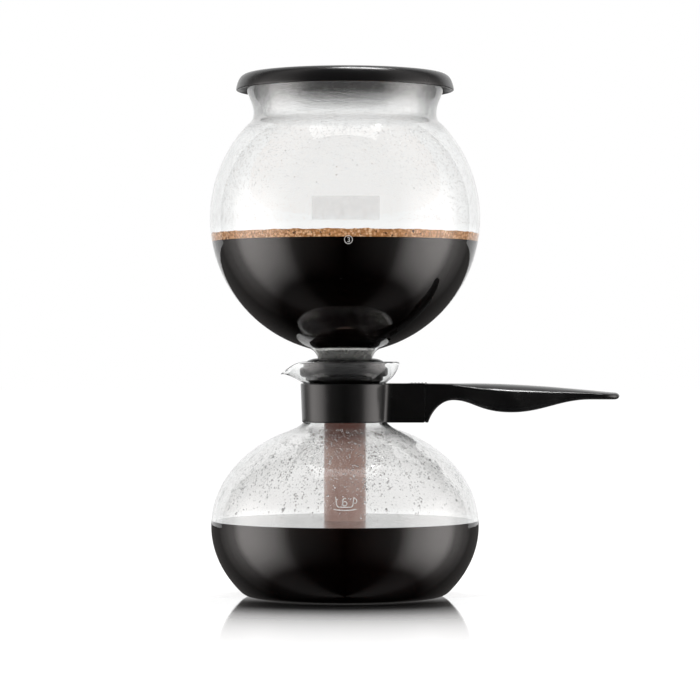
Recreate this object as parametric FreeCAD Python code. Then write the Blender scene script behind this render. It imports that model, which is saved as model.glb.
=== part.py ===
import FreeCAD
import Part
import math
import os

# Siphon (vacuum) coffee maker: a glass carafe with a clamped-on handle, a glass globe whose stem
# reaches down into the carafe, a sprung filter in the globe's throat, and a lid.
#
# Millimetres. Z is up and the floor is Z = 0. The vessels share the Z axis, the handle points along
# +X and the spout along -X. Every height is worked out from the carafe upwards.

V = FreeCAD.Vector
UP = V(0, 0, 1)
ORIGIN = V(0, 0, 0)

# Carafe: a flattened spheroid of blown glass with a straight neck and a flared mouth.
carafe_radius = 80.2
carafe_rise = 62.9  # half height of the whole spheroid
carafe_centre = 42.0  # height of its widest circle
carafe_wall = 2.2
carafe_floor = 3.8  # height of the inside floor
foot_round = 3.2
neck_radius = 23.6
shoulder_blend = 9.4
mouth_flare = 9.1  # how much wider than the neck the rim is
mouth_height = 11.9  # from the top of the collar to the rim

# Pouring spout: a cone that leaves the mouth, cut along a falling lip.
spout_reach = 5.8  # how far it stands out past the rim
spout_drop = 6.2  # how far its tip hangs below the rim
spout_root_radius = 15.0
spout_tip_radius = 4.4
spout_root_x = 10.0

# Collar: a split ring round the neck that ends in two lugs, which make one block.
collar_height = 23.4
collar_gap = 0.1  # between the neck and the ring
collar_wall_top = 3.0
collar_wall_bottom = 2.1
collar_above_shoulder = 4.6
lug_half_width = 9.8
lug_length = 21.0  # from the outside of the ring to the joint with the grip
lug_fillet = 5.0
split = 3.0  # width of the cut that lets the ring spring open

# Grip: hangs on the lugs by an upright T-shaped tenon.
tenon_web = 6.0
tenon_head = 12.6
tenon_head_length = 4.9
tenon_length = 11.9
tenon_clearance = 0.3
tenon_roof = 6.0
joint_gap = 0.15
grip_length = 117.0
grip_root_length = 2.1
grip_end_round = 3.3
waist_at = 16.8
waist_depth = 10.1
waist_half_width = 10.0
belly_at = 51.8
belly_depth = 17.4
belly_half_width = 14.5
tail_at = 99.8
tail_depth = 9.7
tail_half_width = 11.5
tip_drop = 5.5
crown = 2.7  # how far the long edges fall below the middle of the top
edge_round = 0.8

# Lock: a ridged thumb slide in a groove across the joint of collar and grip.
lock_length = 12.6
lock_overlap = 9.7  # how far it reaches into the collar
lock_travel = 10.5
lock_half_width = 5.4
lock_flange = 1.4
lock_flange_height = 1.1
lock_height = 2.9
lock_clearance = 0.2
ridge_radius = 0.5
ridge_pitch = 2.1
ridge_count = 5

# Globe: a sphere with a flared mouth above and a tapering neck and straight stem below.
globe_radius = 81.0
globe_wall = 1.8
globe_neck_radius = 16.2  # where it comes out of the gasket
globe_neck_height = 6.0  # from the gasket to the sphere
globe_neck_lean = 0.446  # widening of the neck per unit of height
throat_radius = 22.0  # where the sphere gives way to the neck
globe_waist_radius = 54.9
globe_waist_height = 63.2  # above the middle of the sphere
globe_mouth_flare = 5.1
globe_mouth_height = 18.8
stem_radius = 12.6
stem_wall = 1.6
stem_taper = 13.0  # from the gasket's top down to the straight stem
stem_foot = 15.0  # height of the stem's lower end

# Gasket: a rubber bung on the globe's neck, with a lip inside the carafe's mouth.
gasket_dome = 3.6  # above the carafe's rim
gasket_dome_radius = 24.0
gasket_lip_radius = 25.8
gasket_lip_height = 5.4
gasket_lip_below_rim = 1.6
gasket_lip_round = 1.6
gasket_waist = 2.9  # how far the groove under the lip is cut in
gasket_clearance = 0.3
gasket_tail = 21.0
gasket_taper = 1.4
rib_height = 0.5
rib_pitch = 5.0
rib_count = 3

# Lid: a moulded cap. Turned over, the socket inside its boss holds the globe's stem.
lid_radius = 65.3
lid_skirt = 9.8
lid_wall = 2.0
lid_plate = 2.0
lid_shoulder = 6.5
lid_dish = 0.6
lid_dish_radius = 54.0
lid_gap = 0.3
boss_radius = 34.0
boss_depth = 14.6
socket_clearance = 0.5
socket_wall = 1.8
rib_plate = 1.6
lid_rib_count = 6

# Filter: a perforated cone in the throat, pulled down by a spring, a ball chain and a hook.
filter_clearance = 0.3
filter_wall = 0.8
filter_rise = 8.5  # above the gasket's top
filter_foot = 6.5  # below the gasket's top
filter_rim_radius = 19.6
filter_hole_radius = 0.9
filter_hole_rows = 3
filter_hole_count = 16
hub_radius = 3.0
mesh_thickness = 0.5
knob_radius = 4.2
knob_height = 3.0
post_radius = 1.4
post_length = 20.0
eye_radius = 2.2
wire_radius = 0.45
spring_radius = 3.2
spring_length = 48.0
spring_turns = 13
ball_radius = 1.2
ball_pitch = 3.1
link_radius = 0.4
link_slack = 0.05
clip_wall = 0.5
hook_wire = 0.6
hook_clearance = 0.7
hook_lip = 3.0

# Contents.
upper_level = 14.2  # below the middle of the globe
foam_depth = 5.0
lower_level = 45.0
liquid_gap = 0.05
stem_film = 3.0
lift_clearance = 0.9  # round the hook, where the stem leaves the lower coffee

# Heights that follow from the sizes above.


def spheroid_radius(height, inset=0.0):
    """Radius of the carafe's spheroid, moved in by inset, at a height."""
    share = (height - carafe_centre) / (carafe_rise - inset)
    return (carafe_radius - inset) * math.sqrt(1 - share**2)


def spheroid_height(radius, inset=0.0):
    """Height of the spheroid's upper half at a radius."""
    share = radius / (carafe_radius - inset)
    return carafe_centre + (carafe_rise - inset) * math.sqrt(1 - share**2)


shoulder_radius = neck_radius + shoulder_blend
collar_bottom = spheroid_height(shoulder_radius) + collar_above_shoulder
collar_top = collar_bottom + collar_height
rim_height = collar_top + mouth_height
rim_radius = neck_radius + mouth_flare
gasket_top = rim_height + gasket_dome
throat_height = gasket_top + globe_neck_height
globe_centre = throat_height + math.sqrt(globe_radius**2 - throat_radius**2)
globe_waist = globe_centre + globe_waist_height
globe_rim = globe_waist + globe_mouth_height
lid_under = globe_rim + globe_wall / 2 + lid_gap
lid_top = lid_under + lid_plate + lid_dish
stem_top = gasket_top - stem_taper
joint_x = neck_radius + collar_gap + collar_wall_top + lug_length
lock_front_x = joint_x - lock_overlap
grip_tip_x = joint_x + grip_length
upper_surface = globe_centre - upper_level
filter_top = gasket_top + filter_rise
filter_bottom = gasket_top - filter_foot


# Small drawing helpers. Profiles are drawn in the XZ plane, with X as the radius.


def at(radius, height):
    return V(radius, 0, height)


def line(start, end):
    return Part.LineSegment(start, end).toShape()


def polyline(*points):
    return [line(a, b) for a, b in zip(points, points[1:])]


def bezier(*points):
    curve = Part.BezierCurve()
    curve.setPoles(list(points))
    return curve.toShape()


def arc(start, middle, end):
    return Part.Arc(start, middle, end).toShape()


def revolve(edges):
    """Solid of revolution about Z of the closed outline that the edges make in order."""
    return Part.Face(Part.Wire(edges)).revolve(ORIGIN, UP, 360)


def rod(radius, bottom, top):
    return Part.makeCylinder(radius, top - bottom, at(0, bottom))


def block(x0, x1, half_width, z0, z1):
    """Box between two X and two Z values, centred on Y = 0."""
    return Part.makeBox(x1 - x0, 2 * half_width, z1 - z0, V(x0, -half_width, z0))


def export(name, shape):
    shape.exportStep(f"parts/{name}.step")
    print(f"{name}: {len(shape.Solids)} solid(s), {shape.Volume / 1000:.2f} ml")


# Carafe


def foot_edges(inset, floor):
    """Edges from the flat of the foot to the spheroid, rounded where it meets the floor."""
    start_z = floor + foot_round
    start_r = spheroid_radius(start_z, inset)
    squash = ((carafe_radius - inset) / (carafe_rise - inset)) ** 2
    slope = squash * (carafe_centre - start_z) / start_r
    corner_r = start_r - slope * foot_round
    return [bezier(at(corner_r - foot_round, floor), at(corner_r, floor), at(start_r, start_z))]


def spheroid_edge(inset, floor):
    """The spheroid from just above the floor to the shoulder."""
    wide = carafe_radius - inset
    high = carafe_rise - inset
    ellipse = Part.Ellipse(at(wide, carafe_centre), at(0, carafe_centre + high), at(0, carafe_centre))
    low = math.asin((floor + foot_round - carafe_centre) / high)
    top = math.acos(shoulder_radius / carafe_radius)
    return Part.ArcOfEllipse(ellipse, low, top).toShape()


def neck_edges(inset):
    """Shoulder blend, straight neck and flared mouth, ending at the rim."""
    start_r = shoulder_radius * (1 - inset / carafe_radius)
    start_z = spheroid_height(start_r, inset)
    neck = neck_radius - inset
    squash = ((carafe_rise - inset) / (carafe_radius - inset)) ** 2
    slope = squash * start_r / (start_z - carafe_centre)
    bend_z = start_z + slope * (start_r - neck)
    neck_foot = bend_z + shoulder_blend / 2
    flare_start = collar_top - mouth_height / 8
    rim = rim_radius - inset
    return [
        bezier(at(start_r, start_z), at(neck, bend_z), at(neck, neck_foot)),
        line(at(neck, neck_foot), at(neck, flare_start)),
        bezier(
            at(neck, flare_start),
            at(neck, flare_start + mouth_height / 6),
            at(rim - mouth_flare / 5, collar_top + mouth_height / 4),
            at(rim, rim_height),
        ),
    ]


def carafe_neck(inset):
    """Solid under the shoulder blend and the neck, its surface moved in by inset."""
    edges = neck_edges(inset)
    start = edges[0].Vertexes[0].Point
    end = edges[-1].Vertexes[-1].Point
    return revolve(edges + polyline(end, at(0, end.z), at(0, start.z), start))


def carafe_body():
    """The revolved shell, and the space inside it up to and past the rim."""
    foot = foot_edges(0, 0)
    base = [line(ORIGIN, foot[0].Vertexes[0].Point)]
    top = rim_height + carafe_wall
    outer = base + foot + [spheroid_edge(0, 0)] + neck_edges(0)
    rim = rim_radius - carafe_wall
    rim_arc = arc(at(rim_radius, rim_height), at(rim + carafe_wall / 2, rim_height + carafe_wall / 2),
                  at(rim, rim_height))
    cap = polyline(at(rim, rim_height), at(0, rim_height), ORIGIN)
    solid = revolve(outer + [rim_arc] + cap)
    inner_foot = foot_edges(carafe_wall, carafe_floor)
    inner = [line(at(0, carafe_floor), inner_foot[0].Vertexes[0].Point)] + inner_foot
    inner += [spheroid_edge(carafe_wall, carafe_floor)] + neck_edges(carafe_wall)
    inside = revolve(inner + polyline(at(rim, rim_height), at(rim, top), at(0, top), at(0, carafe_floor)))
    return solid, inside


def spout_cone(inset):
    """The spout's cone along -X, its surface moved in by inset."""
    length = rim_radius + spout_reach - spout_root_x
    lean = math.atan((spout_root_radius - spout_tip_radius) / length)
    shrink = inset / math.cos(lean)
    axis_height = rim_height - spout_drop + spout_tip_radius
    return Part.makeCone(spout_root_radius - shrink, spout_tip_radius - shrink, length,
                         at(-spout_root_x, axis_height), V(-1, 0, 0))


def lip_cut():
    """Everything above the lip, which falls from the rim to the spout's tip."""
    start = at(-(rim_radius - mouth_flare), rim_height + carafe_wall / 2)
    bend = at(-(rim_radius - carafe_wall / 2), rim_height + carafe_wall / 4)
    tip = at(-(rim_radius + spout_reach), rim_height - spout_drop)
    far = -(rim_radius + 2 * spout_reach)
    sky = rim_height + 2 * spout_root_radius
    edges = [bezier(start, bend, tip)]
    edges += polyline(tip, at(far, tip.z), at(far, sky), at(start.x, sky), start)
    face = Part.Face(Part.Wire(edges))
    face.translate(V(0, -2 * spout_root_radius, 0))
    return face.extrude(V(0, 4 * spout_root_radius, 0))


def mouth_ceiling():
    """Everything over the rim, so that the spout's cone stops level with it."""
    width = 2 * (rim_radius + spout_reach)
    return Part.makeBox(2 * width, 2 * width, width, V(-width, -width, rim_height + carafe_wall / 2))


def make_carafe():
    solid, inside = carafe_body()
    shell = solid.fuse(spout_cone(0).cut(mouth_ceiling()))
    shell = shell.cut(inside.fuse(spout_cone(carafe_wall)))
    return shell.cut(lip_cut()).removeSplitter()


# Collar, grip and lock


def lock_groove(x0, x1, slack):
    """The lock's cross-section, with slack all round, between two X values."""
    floor = collar_top - lock_height
    wide = block(x0, x1, lock_half_width + lock_flange + slack, floor - slack,
                 floor + lock_flange_height + slack)
    narrow = block(x0, x1, lock_half_width + slack, floor, collar_top + lock_height)
    return wide.fuse(narrow)


def tenon(slack):
    """The T-shaped tenon that hangs the grip on the lugs, made larger by slack."""
    head_x = joint_x - tenon_length
    top = collar_top - tenon_roof + slack
    bottom = collar_bottom + 2 * tenon_clearance if slack == 0 else collar_bottom - 1
    head = block(head_x - slack, head_x + tenon_head_length + slack, tenon_head / 2 + slack, bottom, top)
    web = block(head_x, joint_x + grip_root_length / 2, tenon_web / 2 + slack, bottom, top)
    return head.fuse(web)


def make_collar():
    bore = neck_radius + collar_gap
    ring = Part.makeCone(bore + collar_wall_bottom, bore + collar_wall_top, collar_height,
                         at(0, collar_bottom))
    lugs = block(neck_radius / 2, joint_x, lug_half_width, collar_bottom, collar_top)
    body = ring.fuse(lugs).removeSplitter()
    upright = [e for e in body.Edges if e.BoundBox.ZLength > collar_height / 2]
    corners = [e for e in upright if 0 < e.BoundBox.XMin < joint_x - 1]
    body = body.makeFillet(lug_fillet, corners)
    rims = [e for e in body.Edges if e.BoundBox.ZLength < 1e-6 and e.BoundBox.XMin < joint_x - 1e-6]
    body = body.makeFillet(edge_round, rims)
    body = body.cut([rod(bore, collar_bottom - 1, collar_top + 1), carafe_neck(-collar_gap)])
    slit = block(0, joint_x - tenon_length, split / 2, collar_bottom - 1, collar_top + 1)
    groove = lock_groove(lock_front_x - lock_clearance, joint_x + 1, lock_clearance)
    return body.cut(slit.fuse([tenon(tenon_clearance), groove]))


def grip_point(along, drop):
    """A point of the grip's outline: distance from the joint, and depth below the collar's top."""
    return at(joint_x + along, collar_top - drop)


def ease(start, end, leave=0.4, arrive=0.4):
    """A curve that leaves one point and reaches the next level along X."""
    reach = end.x - start.x
    return bezier(start, V(start.x + leave * reach, start.y, start.z),
                  V(end.x - arrive * reach, end.y, end.z), end)


def grip_side():
    """The grip seen from the side, as a plate as thick as the grip is wide anywhere."""
    root_top = grip_point(joint_gap, 0)
    root_bottom = grip_point(joint_gap, collar_height)
    heel = grip_point(grip_root_length, collar_height)
    waist = grip_point(waist_at, waist_depth)
    belly = grip_point(belly_at, belly_depth)
    tail = grip_point(tail_at, tail_depth)
    under_tip = grip_point(grip_length - grip_end_round, tail_depth + 0.2)
    tip = grip_point(grip_length, (tail_depth + tip_drop) / 2)
    over_tip = grip_point(grip_length - grip_end_round, tip_drop)
    slope_start = grip_point(waist_at + 10.5, 0)
    third = (over_tip.x - slope_start.x) / 3
    edges = [
        line(root_bottom, heel),
        bezier(heel, V(heel.x + 0.12 * waist_at, 0, heel.z + 0.5 * (waist.z - heel.z)),
               V(waist.x - 0.42 * waist_at, 0, waist.z), waist),
        ease(waist, belly, 0.35, 0.55),
        ease(belly, tail),
        line(tail, under_tip),
        arc(under_tip, tip, over_tip),
        bezier(over_tip, over_tip + V(-third, 0, 0.5 * tip_drop), slope_start + V(third, 0, 0),
               slope_start),
        line(slope_start, root_top),
        line(root_top, root_bottom),
    ]
    face = Part.Face(Part.Wire(edges))
    half = 2 * belly_half_width
    face.translate(V(0, -half, 0))
    return face.extrude(V(0, 2 * half, 0))


def grip_plan():
    """The grip seen from above, as a deep block."""
    base = collar_bottom - 1
    stations = [(joint_gap, lug_half_width), (grip_root_length, lug_half_width),
                (waist_at, waist_half_width), (belly_at, belly_half_width), (tail_at, tail_half_width)]
    near = [V(joint_x + x, -y, base) for x, y in stations]
    far = [V(joint_x + x, y, base) for x, y in stations]
    tip = V(grip_tip_x, 0, base)
    left = V(grip_tip_x - tail_half_width, -tail_half_width, base)
    right = V(grip_tip_x - tail_half_width, tail_half_width, base)
    edges = [line(near[0], near[1]), ease(near[1], near[2]), ease(near[2], near[3]), ease(near[3], near[4])]
    edges += [line(near[4], left), arc(left, tip, right), line(right, far[4])]
    edges += [ease(far[4], far[3]), ease(far[3], far[2]), ease(far[2], far[1]), line(far[1], far[0])]
    edges += [line(far[0], near[0])]
    return Part.Face(Part.Wire(edges)).extrude(V(0, 0, collar_height + 2))


def crown_section(along, drop, fall, half_width):
    """A cross-section whose top is an arc that falls by fall at the grip's edge."""
    x = joint_x + along
    reach = 1.2 * belly_half_width
    edge = collar_top - drop - fall * (reach / half_width) ** 2
    low = collar_bottom - 1
    top = arc(V(x, -reach, edge), V(x, 0, collar_top - drop), V(x, reach, edge))
    sides = polyline(V(x, reach, edge), V(x, reach, low), V(x, -reach, low), V(x, -reach, edge))
    return Part.Wire([top] + sides)


def grip_crown():
    """A long body with the crowned top of the grip, deeper and wider than the grip."""
    slight = 0.05
    middle = (belly_at + tail_at) / 2
    sections = [
        crown_section(0, -slight, slight, lug_half_width),
        crown_section(waist_at, -slight, slight, waist_half_width),
        crown_section((waist_at + belly_at) / 2, 0, 0.8 * crown, waist_half_width + 2),
        crown_section(belly_at, 0.15 * tip_drop, crown, belly_half_width),
        crown_section(middle, 0.45 * tip_drop, 0.7 * crown, belly_half_width),
        crown_section(tail_at, 0.75 * tip_drop, 0.25 * crown, tail_half_width),
        crown_section(grip_length + 1, tip_drop, 0.15 * crown, tail_half_width),
    ]
    return Part.makeLoft(sections, True, False)


def make_grip():
    body = grip_side().common(grip_plan()).common(grip_crown())
    body = body.fuse(tenon(0))
    groove_end = lock_front_x + lock_length + lock_travel + lock_clearance
    return body.cut(lock_groove(joint_x - 1, groove_end, lock_clearance)).removeSplitter()


def make_lock():
    """Ridged thumb slide; its front half lies in the collar's groove and holds the grip up."""
    back = lock_front_x + lock_length
    floor = collar_top - lock_height
    base = block(lock_front_x, back, lock_half_width + lock_flange, floor, floor + lock_flange_height)
    top = block(lock_front_x, back, lock_half_width, floor, collar_top)
    slide = base.fuse(top)
    first = (lock_front_x + back - (ridge_count - 1) * ridge_pitch) / 2
    for i in range(ridge_count):
        start = V(first + i * ridge_pitch, -lock_half_width + ridge_radius, collar_top)
        ridge = Part.makeCylinder(ridge_radius, 2 * (lock_half_width - ridge_radius), start, V(0, 1, 0))
        slide = slide.fuse(ridge)
    return slide.removeSplitter()


# Globe with its stem


def globe_edges(inset, stem_inset):
    """The globe's outline, moved in by inset, from the mouth's rim down to the stem's end."""
    radius = globe_radius - inset
    waist_r = globe_waist_radius - inset
    bend = globe_mouth_height / 3
    join_r = waist_r + globe_mouth_flare
    join_z = globe_centre + math.sqrt(radius**2 - join_r**2)
    join_slope = V(-(join_z - globe_centre), 0, join_r) / radius
    throat_r = throat_radius * radius / globe_radius
    throat_z = globe_centre - math.sqrt(radius**2 - throat_r**2)
    throat_slope = V(-(globe_centre - throat_z), 0, -throat_r) / radius
    neck = at(globe_neck_radius - inset, gasket_top)
    stem_start = at(stem_radius - stem_inset, stem_top)
    lean = at(globe_neck_lean, 1).normalize()
    rim = at(waist_r + globe_mouth_flare, globe_rim)
    waist = at(waist_r, globe_waist)
    join = at(join_r, join_z)
    throat = at(throat_r, throat_z)
    reach = (globe_waist - join_z) * 0.6
    return [
        bezier(rim, rim - V(0, 0, bend), waist + V(0, 0, bend), waist),
        bezier(waist, waist - V(0, 0, reach), join + join_slope * reach, join),
        arc(join, at(radius, globe_centre), throat),
        bezier(throat, throat + throat_slope * globe_neck_height * 0.7,
               neck + lean * globe_neck_height / 2, neck),
        bezier(neck, neck - lean * stem_taper / 2, stem_start + V(0, 0, stem_taper / 3), stem_start),
        line(stem_start, at(stem_radius - stem_inset, stem_foot)),
    ]


def globe_solid():
    """The outside of the globe and stem, filled solid."""
    edges = globe_edges(0, 0)
    rim_r = globe_waist_radius + globe_mouth_flare
    edges += polyline(at(stem_radius, stem_foot), at(0, stem_foot), at(0, globe_rim), at(rim_r, globe_rim))
    return revolve(edges)


def globe_inside():
    """The space inside the globe and stem."""
    edges = globe_edges(globe_wall, stem_wall)
    rim_r = globe_waist_radius + globe_mouth_flare - globe_wall
    edges += polyline(at(stem_radius - stem_wall, stem_foot), at(0, stem_foot), at(0, globe_rim),
                      at(rim_r, globe_rim))
    return revolve(edges)


def make_globe():
    shell = globe_solid().cut(globe_inside())
    rim_r = globe_waist_radius + globe_mouth_flare - globe_wall / 2
    bead = Part.makeTorus(rim_r, globe_wall / 2, at(0, globe_rim))
    return shell.fuse(bead).removeSplitter()


# Gasket


def make_gasket():
    """Rubber bung: a domed top, a lip, a groove, and a ribbed plug that fits the carafe's neck."""
    plug_r = neck_radius - carafe_wall - gasket_clearance
    lip_top = rim_height - gasket_lip_below_rim
    lip_bottom = lip_top - gasket_lip_height
    groove_r = gasket_lip_radius - gasket_waist
    plug_top = collar_top + mouth_height / 12
    tail_z = collar_top - gasket_tail
    rounding = gasket_lip_round
    corner = rounding * (1 - math.sqrt(0.5))
    dome_foot = at(gasket_dome_radius, rim_height + 0.2)
    edges = [
        bezier(at(0, gasket_top), at(globe_neck_radius + 2, gasket_top),
               at(gasket_dome_radius - 1, gasket_top - 1), dome_foot),
        line(dome_foot, at(gasket_dome_radius, lip_top)),
        line(at(gasket_dome_radius, lip_top), at(gasket_lip_radius - rounding, lip_top)),
        arc(at(gasket_lip_radius - rounding, lip_top), at(gasket_lip_radius - corner, lip_top - corner),
            at(gasket_lip_radius, lip_top - rounding)),
        line(at(gasket_lip_radius, lip_top - rounding), at(gasket_lip_radius, lip_bottom + rounding)),
        arc(at(gasket_lip_radius, lip_bottom + rounding),
            at(gasket_lip_radius - corner, lip_bottom + corner),
            at(gasket_lip_radius - rounding, lip_bottom)),
    ]
    edges += polyline(at(gasket_lip_radius - rounding, lip_bottom), at(groove_r, lip_bottom),
                      at(groove_r, (lip_bottom + plug_top) / 2), at(plug_r - rib_height, plug_top),
                      at(plug_r - rib_height - gasket_taper, tail_z), at(0, tail_z), at(0, gasket_top))
    bung = revolve(edges)
    for i in range(rib_count):
        z = plug_top - rib_pitch * (i + 0.6)
        bung = bung.fuse(Part.makeTorus(plug_r - 2 * rib_height, 2 * rib_height, at(0, z)))
    return bung.cut(globe_solid()).removeSplitter()


# Lid


def make_lid():
    skirt_z = lid_top - lid_skirt
    boss_z = lid_top - boss_depth
    socket_r = stem_radius + socket_clearance
    inner = lid_radius - lid_wall
    crest = lid_radius - lid_shoulder
    dish_z = lid_top - lid_dish
    edges = polyline(at(0, dish_z), at(lid_dish_radius, dish_z))
    edges += [
        ease(at(lid_dish_radius, dish_z), at(crest - 1, lid_top)),
        line(at(crest - 1, lid_top), at(crest, lid_top)),
        bezier(at(crest, lid_top), at(lid_radius - 2.6, lid_top), at(lid_radius - 0.8, lid_top - 3.6),
               at(lid_radius, skirt_z + 0.8)),
        arc(at(lid_radius, skirt_z + 0.8), at(lid_radius - 0.3, skirt_z + 0.25), at(lid_radius - 0.8, skirt_z)),
    ]
    edges += polyline(at(lid_radius - 0.8, skirt_z), at(inner, skirt_z), at(inner - 0.6, lid_under - 1.2),
                      at(inner - 1.8, lid_under), at(boss_radius, lid_under), at(boss_radius - 0.5, boss_z),
                      at(boss_radius - 0.5 - lid_wall, boss_z), at(boss_radius - lid_wall, lid_under),
                      at(socket_r + socket_wall, lid_under), at(socket_r + socket_wall, boss_z),
                      at(socket_r, boss_z), at(socket_r, lid_under), at(0, lid_under), at(0, dish_z))
    lid = revolve(edges)
    for i in range(lid_rib_count):
        rib = Part.makeBox(boss_radius - 1.5 - socket_r - 1, rib_plate, lid_under - boss_z - 2,
                           V(socket_r + 1, -rib_plate / 2, boss_z + 2))
        rib.rotate(ORIGIN, UP, 360 * i / lid_rib_count)
        lid = lid.fuse(rib)
    return lid.removeSplitter()


# Filter, spring, chain and hook


def throat_fill(clearance, bottom, top):
    """The inside of the globe between two heights, kept clear of the glass."""
    edges = globe_edges(globe_wall + clearance, stem_wall + clearance)
    rim_r = globe_waist_radius + globe_mouth_flare - globe_wall - clearance
    stem_r = stem_radius - stem_wall - clearance
    edges += polyline(at(stem_r, stem_foot), at(0, stem_foot), at(0, globe_rim), at(rim_r, globe_rim))
    slab = rod(globe_radius + 1, bottom, top)
    return revolve(edges).common(slab)


def filter_cone(inset):
    """The filter's cone, kept clear of the glass, with its wall moved in by inset."""
    base_r = filter_rim_radius - globe_neck_lean * (filter_top - filter_bottom)
    cone = Part.makeCone(base_r - inset, filter_rim_radius - inset, filter_top - filter_bottom,
                         at(0, filter_bottom))
    return throat_fill(filter_clearance + inset, filter_bottom, filter_top).common(cone)


def make_filter_cone():
    """Perforated cone that fills the throat, open at the top, with a hub for the post."""
    inner = filter_cone(filter_wall).cut(rod(filter_rim_radius, 0, filter_bottom + filter_wall))
    shell = filter_cone(0).cut(inner)
    holes = []
    row_height = (filter_top - filter_bottom) / (filter_hole_rows + 1)
    for row in range(filter_hole_rows):
        z = filter_bottom + (row + 1) * row_height
        for i in range(filter_hole_count):
            turn = 2 * math.pi * (i + row / 2) / filter_hole_count
            way = V(math.cos(turn), math.sin(turn), 0)
            holes.append(Part.makeCylinder(filter_hole_radius, filter_rim_radius, at(0, z), way))
    hub = rod(hub_radius, filter_bottom, filter_top)
    bore = rod(post_radius + 0.1, filter_bottom - 1, filter_top + 1)
    return shell.cut(holes).fuse(hub).cut(bore).removeSplitter()


def make_filter_mesh():
    """Fine screen as a plain disc on the cone's rim, with a hole for the post."""
    top = filter_top + mesh_thickness
    return rod(filter_rim_radius, filter_top, top).cut(rod(post_radius + 0.1, filter_top - 1, top + 1))


def make_filter_knob():
    """Cap nut that holds the mesh down and is pulled to lift the filter out."""
    z = filter_top + mesh_thickness
    cap = rod(knob_radius, z, z + knob_height)
    cap = cap.makeFillet(knob_height / 3, [cap.Edges[0]])
    return cap.cut(rod(post_radius, z - 1, z + knob_height / 2))


def post_foot():
    return filter_top + mesh_thickness - post_length


def make_filter_post():
    """Threaded post through the cup, with an eye for the spring at its foot."""
    top = filter_top + mesh_thickness + knob_height / 2
    shank = rod(post_radius, post_foot(), top)
    eye = Part.makeTorus(eye_radius, wire_radius, at(0, post_foot() - eye_radius), V(1, 0, 0))
    return shank.fuse(eye).removeSplitter()


def spring_top():
    """Middle of the wire at the top of the spring's upper loop, which hangs in the post's eye."""
    return post_foot() - 2 * eye_radius + 2 * wire_radius + link_slack


def make_spring():
    """Tension spring of round wire, with a loop at each end."""
    turn_height = spring_length - 4 * eye_radius
    start_z = spring_top() - spring_length + 2 * eye_radius
    helix = Part.makeHelix(turn_height / spring_turns, turn_height, spring_radius)
    helix.translate(V(0, 0, start_z))
    section = Part.Wire(Part.makeCircle(wire_radius, V(spring_radius, 0, start_z), V(0, 1, 0)))
    coil = Part.Wire(helix.Edges).makePipeShell([section], True, True)
    loops = []
    for z in (start_z - eye_radius, start_z + turn_height + eye_radius):
        loops.append(Part.makeTorus(eye_radius, wire_radius, at(0, z), V(0, 1, 0)))
    arms = []
    for z in (start_z, start_z + turn_height):
        start = at(-wire_radius / 2, z)
        arms.append(Part.makeCylinder(wire_radius, spring_radius + wire_radius, start, V(1, 0, 0)))
    return coil.fuse(loops + arms).removeSplitter()


def chain_top():
    return spring_top() - spring_length - wire_radius


def clip_floor():
    """Inside floor of the clip, which the first ball of the chain rests on."""
    return chain_top() - 2 * ball_radius - clip_wall


def make_coupler():
    """Folded clip that hangs on the spring's lower loop and holds the first ball of the chain."""
    top = chain_top() + 4 * wire_radius
    inside = ball_radius + clip_wall / 2
    clip = Part.makeBox(ball_radius, 2 * (inside + clip_wall), top + 2 * clip_wall - clip_floor(),
                        V(-ball_radius / 2, -inside - clip_wall, clip_floor() - clip_wall))
    window = Part.makeBox(2 * ball_radius, 2 * inside, top - clip_floor(),
                          V(-ball_radius, -inside, clip_floor()))
    return clip.cut([window, rod(link_radius + link_slack, clip_floor() - 2 * clip_wall, top)])


def make_chain():
    """Ball chain from the clip to the hook, all balls and links in line."""
    first = clip_floor() + math.sqrt(ball_radius**2 - (link_radius + link_slack) ** 2)
    room = first - hook_eye() - ball_radius
    count = int(room / ball_pitch)
    pitch = room / count
    chain = Part.makeSphere(ball_radius, at(0, first))
    for i in range(1, count + 1):
        z = first - i * pitch
        chain = chain.fuse([Part.makeSphere(ball_radius, at(0, z)), rod(link_radius, z, z + pitch)])
    return chain


def hook_eye():
    """Height of the top of the hook's eye."""
    return stem_foot + hook_lip + 2 * hook_wire + 3


def make_hook():
    """Wire hook that goes down inside the stem, under its end and up outside it."""
    out_r = stem_radius + hook_clearance + hook_wire
    in_r = stem_radius - stem_wall - hook_clearance - hook_wire
    bottom = stem_foot - hook_clearance - hook_wire
    mid = (out_r + in_r) / 2
    bend = (out_r - in_r) / 2
    top = stem_foot + hook_lip
    eye_z = hook_eye() - hook_wire - 1.2
    path = [
        line(at(0, eye_z - 1.2), at(in_r, top)),
        line(at(in_r, top), at(in_r, bottom + bend)),
        arc(at(in_r, bottom + bend), at(mid, bottom), at(out_r, bottom + bend)),
        line(at(out_r, bottom + bend), at(out_r, top)),
    ]
    start = path[0].Vertexes[0].Point
    section = Part.Wire(Part.makeCircle(hook_wire, start, path[0].tangentAt(path[0].FirstParameter)))
    wire = Part.Wire(path).makePipeShell([section], True, True, 2)
    eye = Part.makeTorus(1.2, hook_wire, at(0, eye_z), V(0, 1, 0))
    return wire.fuse(eye).removeSplitter()


# Contents


def filter_envelope():
    """Space round the filter's pieces that the coffee leaves free."""
    top = filter_top + mesh_thickness
    disc = rod(filter_rim_radius + filter_clearance, gasket_top, top + filter_clearance)
    return disc.fuse(rod(knob_radius + 0.3, top, top + knob_height + 0.3))


def make_upper_coffee():
    """Coffee in the globe, down to the filter."""
    return throat_fill(liquid_gap, filter_top, upper_surface).cut(filter_envelope())


def make_foam():
    """Foam and floating grounds on the coffee in the globe."""
    return throat_fill(liquid_gap, upper_surface + liquid_gap, upper_surface + foam_depth)


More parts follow.
